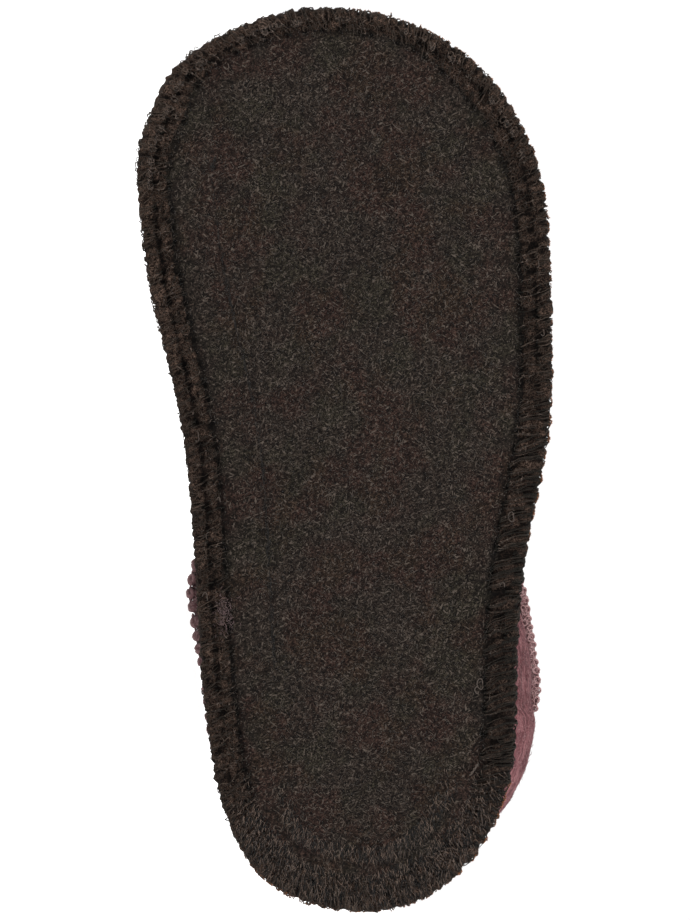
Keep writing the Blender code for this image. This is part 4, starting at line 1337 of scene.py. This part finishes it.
    a2 = np.linspace(0, 2 * math.pi * 1.15, 14)[None] + rng.uniform(0, 6.3, (len(sp), 1))
    ring = np.stack([places[:, 1:] + 0.46 * np.cos(a2), -5.0 + 0.12 * np.sin(a2 + 1) + 0 * places[:, 1:],
                     (0.62 + 0.08 * rng.standard_normal((len(sp), 1))) * np.sin(a2)], -1)
    v, f, uv = tubes(round_collar(sp, ring, 0)[0], 0.12, 5)
    uv[:, 5] = 1.3
    parts.append((v, f, uv))
    parts.append(tubes(round_collar(sc, curl, 0)[0], 0.125 * (1 + 0.15 * rng.standard_normal((n, 1))), 4))
    v, f, uv = merge(parts)
    # painted shade: a little darker on the inner side, which lies towards the floor
    shade = np.clip(uv[:, 5] - 0.06 * (v[:, 1] < 0), 0.05, 1.0)
    piece("collar_yarn_loops", v, f, COLLAR, uv=uv, shade=shade)
    return v


def make_back_seam(outer, n):
    """Ladder of short stitches that closes the centre back."""
    rng = np.random.default_rng(41)
    rows = np.arange(16, len(outer) - 6)
    line, nor = outer[rows, 0], n[rows, 0]
    length = np.concatenate([[0], np.cumsum(np.linalg.norm(np.diff(line, axis=0), axis=1))])
    h = np.arange(1.5, length[-1] - 2.0, 2.3)
    at = lambda x, tab: np.stack([np.interp(x, length, tab[:, k]) for k in range(3)], -1)
    m = len(h)
    ctrl = []
    for y, lift, dz in ((-2.0, -0.7, -0.5), (-1.7, 0.22, -0.4), (0.0, 0.30, 0.0), (1.7, 0.22, 0.4), (2.0, -0.7, 0.5)):
        x = h + dz + 0.1 * rng.standard_normal(m)
        p = at(x, line) + (lift + (0.35 if abs(y) > 1 else -0.25)) * unit(at(x, nor))
        p[:, 1] += y
        p[:, 0] += 0.028 * y * y
        ctrl.append(p)
    parts = plies(smooth_path(np.stack(ctrl, 1), 11), 2, 0.24, 0.27, 3.2, rng, sides=6)
    v, f, uv = merge(parts)
    piece("back_seam_stitches", v, f, COLLAR, uv=uv, shade=np.ones(len(v)))


# ------------------------------------------------------------------ loose fibres
def inside(poly, pts):
    x, y = pts[:, 0], pts[:, 1]
    hit = np.zeros(len(pts), bool)
    q = np.roll(poly, -1, 0)
    for (x1, y1), (x2, y2) in zip(poly, q):
        if y1 == y2:
            continue
        cross = ((y1 > y) != (y2 > y)) & (x < (x2 - x1) * (y - y1) / (y2 - y1) + x1)
        hit ^= cross
    return hit


def make_sole_fibres():
    rng = np.random.default_rng(51)
    t = np.linspace(0, 2 * math.pi, 361)[:-1]
    poly = sole_ring(t) - (pit_at(SOLE_EDGE.length_at(t)) - 0.3)[:, None] * ring_normal(sole_ring, t)
    lo, hi = poly.min(0), poly.max(0)

    def scatter(count):
        p = rng.uniform(lo, hi, (int(count * 1.6), 2))
        return p[inside(poly, p)][:count]

    for name, count, colour, length, width, lift, bent in (
            ("sole_fibres_light", 7000, lin(104, 94, 86, K), (0.15, 0.50), 0.055, 0.18, False),
            ("sole_fibres_dark", 9000, lin(10, 7, 6, K), (0.25, 0.8), 0.070, 0.20, False),
            ("sole_fibres_brown", 5000, lin(60, 45, 40, K), (0.2, 0.7), 0.060, 0.20, False),
            ("sole_fibres_long", 1200, lin(84, 76, 69, K), (0.8, 2.0), 0.045, 0.25, True)):
        p = scatter(count)
        m = len(p)
        q = np.concatenate([p, np.zeros((m, 1))], 1)
        flow = math.pi / 2 + 1.1 * noise(q, 22.0, 4) - 1.2 * np.clip((45 - p[:, 0]) / 30, 0, 1)
        ang = flow + 1.6 * rng.standard_normal(m)
        ln = rng.uniform(*length, m)
        z = underside(p[:, 0]) - 0.10 * noise(q, 11.0) - 0.07 * noise(q, 4.2, 1) - 0.045 * noise(q, 2.1, 2)
        base = np.stack([p[:, 0], p[:, 1], z + 0.02], -1)
        d = np.stack([np.cos(ang) * ln, np.sin(ang) * ln, -np.abs(rng.normal(lift, 0.12, m))], -1)
        bend = np.stack([-np.sin(ang), np.cos(ang), -0.4 * np.ones(m)], -1) * (0.16 * rng.standard_normal((m, 1)))
        bend[:, 2] = -0.06
        v, f, _ = needles(base, d, width, bend if bent else None)
        piece(name, v, f, fibre_material(name, colour))
    m = 420   # a faint line of dark fibres along the inner side, 14 mm in: painted shade of a shallow groove
    t = SOLE_EDGE.length_at(angle_of(rng.uniform(44, 150, m) / SOLE_LENGTH))
    c, n = SOLE_EDGE.point(t), SOLE_EDGE.normal(t)
    c = c - (13.8 + 0.22 * rng.standard_normal((m, 1)) + 0.35 * wavy(t, 20.0, 2)[:, None]) * n
    base = np.concatenate([c, underside(c[:, :1]) - 0.05], 1)
    d = np.stack([-n[:, 1] + 0.12 * rng.standard_normal(m), n[:, 0] + 0.12 * rng.standard_normal(m), -0.07 + 0 * t], -1)
    v, f, _ = needles(base, d * rng.uniform(0.8, 1.9, (m, 1)), 0.065)
    piece("sole_groove_shade_fibres", v, f, fibre_material("sole_groove_shade_fibres", lin(16, 11, 9, K)))


def hairs_on(name, verts, centre_of, count, seed, colour, length, width, lay=0.5, bent=True):
    """Hairs rooted on a yarn's surface, pointing away from centre_of(points)."""
    rng = np.random.default_rng(seed)
    p = verts[rng.integers(0, len(verts), count)]
    out = unit(centre_of(p))
    side = unit(rng.standard_normal((count, 3)))
    d = unit(out * (1 - lay) + side * lay)
    d = np.where((d * out).sum(1, keepdims=True) < 0, -d, d)
    ln = rng.uniform(*length, (count, 1))
    bend = unit(rng.standard_normal((count, 3))) * 0.14 * ln
    v, f, _ = needles(p - 0.05 * d, d * ln, width, bend if bent else None)
    piece(name, v, f, fibre_material(name, colour))


def near_edge(p):
    """Index of the nearest of 512 places on the sole's edge, and the distance inside it."""
    t, n = SOLE_EDGE.p[::16][:-1], SOLE_EDGE.n[::16][:-1]
    index = np.zeros(len(p), int)
    for a in range(0, len(p), 4000):
        index[a:a + 4000] = ((p[a:a + 4000, None, :2] - t[None]) ** 2).sum(-1).argmin(1)
    return index, ((t[index] - p[:, :2]) * n[index]).sum(-1)


def inset_of(p):
    return near_edge(p)[1]


def away_from_sole(p):
    """Direction out of the sole's edge at points near it."""
    i, inset = near_edge(p)
    n = SOLE_EDGE.n[::16][:-1]
    h = (p[:, 2] - underside(p[:, 0]) - 3.6) / 3.6
    w = np.clip((2.2 - inset) / 2.2, 0, 1)
    return np.concatenate([n[i] * w[:, None], (np.sign(h) * (1.05 - w) + 0.3 * h)[:, None]], 1)


def away_from_collar(p):
    t = COLLAR_EDGE.p[::16][:-1]
    n = COLLAR_EDGE.n[::16][:-1]
    out = np.zeros_like(p)
    for a in range(0, len(p), 4000):
        i = ((p[a:a + 4000, None] - t[None]) ** 2).sum(-1).argmin(1)
        c = t[i] - np.concatenate([n[i] * WALL / 2, np.full((len(i), 1), 1.2)], 1)
        out[a:a + 4000] = p[a:a + 4000] - c
    return out


def make_upper_fibres(outer, n):
    rng = np.random.default_rng(61)
    k, c, _ = outer.shape
    for name, count, colour, length in (("upper_fibres_light", 4500, lin(172, 126, 126, K), (0.6, 1.9)),
                                        ("upper_fibres_mauve", 6000, lin(118, 68, 74, K), (0.6, 2.0))):
        i = rng.integers(14, k, count)  # rows above the flange
        jj = rng.integers(0, c, count)
        p, nn = outer[i, jj], n[i, jj]
        tang = unit(np.cross(nn, rng.standard_normal((count, 3))))
        ln = rng.uniform(*length, (count, 1))
        d = (tang * 0.93 + nn * rng.uniform(0.05, 0.32, (count, 1)))
        bend = unit(rng.standard_normal((count, 3))) * 0.16 * ln
        v, f, _ = needles(p - 0.03 * nn, unit(d) * ln, 0.045, bend if name.endswith("light") else None)
        piece(name, v, f, fibre_material(name, colour))


# ------------------------------------------------------------------ build
make_outsole()
make_insole()
yarn, yarn_shade, rim_yarn = make_sole_yarn()
open_yarn = yarn[(yarn_shade > 0.5) & (inset_of(yarn) > 1.3)]
rim_yarn = rim_yarn[((rim_yarn[:, 1] > 8) & ((rim_yarn[:, 0] > 66) | (rim_yarn[:, 0] < 22))) | (rim_yarn[:, 0] < 14)]
OUTER, NORMALS, _, _ = make_upper()
loops = make_collar_yarn()
make_back_seam(OUTER, NORMALS)
make_sole_fibres()
hairs_on("sole_yarn_hairs", open_yarn, away_from_sole, 2500, 71, lin(132, 115, 104, K), (0.3, 0.9), 0.050,
         lay=0.80)
hairs_on("sole_yarn_hairs_dark", open_yarn, away_from_sole, 3400, 74, lin(14, 9, 7, K), (0.3, 0.9), 0.060,
         lay=0.75, bent=False)
# painted light: short warm orange hairs round the outermost rim stand in for a warm glow along the outline
hairs_on("sole_yarn_hairs_painted_glow", rim_yarn, away_from_sole, 7500, 72, lin(178, 108, 58, 0.8), (0.10, 0.34), 0.050,
         lay=0.45, bent=False)
hairs_on("collar_hairs", loops, away_from_collar, 4000, 73, lin(200, 164, 170, K), (0.15, 0.5), 0.040,
         bent=False)
make_upper_fibres(OUTER, NORMALS)

# ------------------------------------------------------------------ floor, light, camera
floor = bpy.data.meshes.new("floor")
w = 12.0
floor.from_pydata([(-w, -w, FLOOR * 0.001), (w, -w, FLOOR * 0.001), (w, w, FLOOR * 0.001), (-w, w, FLOOR * 0.001)],
                  [], [(0, 1, 2, 3)])
fm = Nodes("floor_white", Roughness=0.85, Specular_IOR_Level=0.2)
fm.colour(fm.steps(fm.noise(fm.place(0.002), detail=2.0), (0.3, (0.50, 0.50, 0.495)), (0.7, (0.51, 0.51, 0.51))))
fm.bsdf.inputs["Emission Color"].default_value = (1.0, 0.995, 0.99, 1.0)
fm.bsdf.inputs["Emission Strength"].default_value = 0.97
floor.materials.append(fm.mat)
floor_ob = bpy.data.objects.new("floor", floor)
bpy.context.scene.collection.objects.link(floor_ob)

world = bpy.data.worlds.new("studio")
bpy.context.scene.world = world
world.use_nodes = True
world.node_tree.nodes["Background"].inputs["Color"].default_value = (1.0, 1.0, 1.0, 1.0)
world.node_tree.nodes["Background"].inputs["Strength"].default_value = 1.03


def area(name, place, target, size, watts, colour=(1, 1, 1)):
    light = bpy.data.lights.new(name, "AREA")
    light.shape, light.size, light.size_y = "RECTANGLE", size[0], size[1]
    light.energy, light.color = watts, colour
    ob = bpy.data.objects.new(name, light)
    ob.location = place
    ob.rotation_mode = "QUATERNION"
    ob.rotation_quaternion = (Vector(target) - Vector(place)).to_track_quat("-Z", "Y")
    bpy.context.scene.collection.objects.link(ob)
    return ob


MID = (0.0, 0.0, 0.035)
area("key_above", (-0.25, -0.75, 1.15), MID, (0.7, 0.5), 9.0, (1.0, 0.985, 0.96))
area("fill_front", (0.5, -1.7, 0.55), MID, (0.9, 0.9), 8.0)

cam_data = bpy.data.cameras.new("photo_camera")
cam_data.sensor_width = 36.0
cam_data.lens = 36.0 * 2000.0 / 176.28
cam_data.clip_start, cam_data.clip_end = 0.05, 60.0
cam = bpy.data.objects.new("photo_camera", cam_data)
bpy.context.scene.collection.objects.link(cam)
right, up = ROT @ np.array([-0.0736, 0.99729, 0.0]), ROT @ np.array([0.99729, 0.0736, 0.0])
right, up = unit(right), unit(up - (up @ unit(right)) * unit(right))
back = np.cross(right, up)
eye = to_world((86.0, 0.25, 0.0)) + 2.0 * back
mat = Matrix.Identity(4)
for i in range(3):
    mat[i][0], mat[i][1], mat[i][2], mat[i][3] = right[i], up[i], back[i], eye[i]
cam.matrix_world = mat
bpy.context.scene.camera = cam

view = bpy.context.scene.view_settings
view.view_transform = "Standard"
view.look = "None"
view.exposure = 0.0
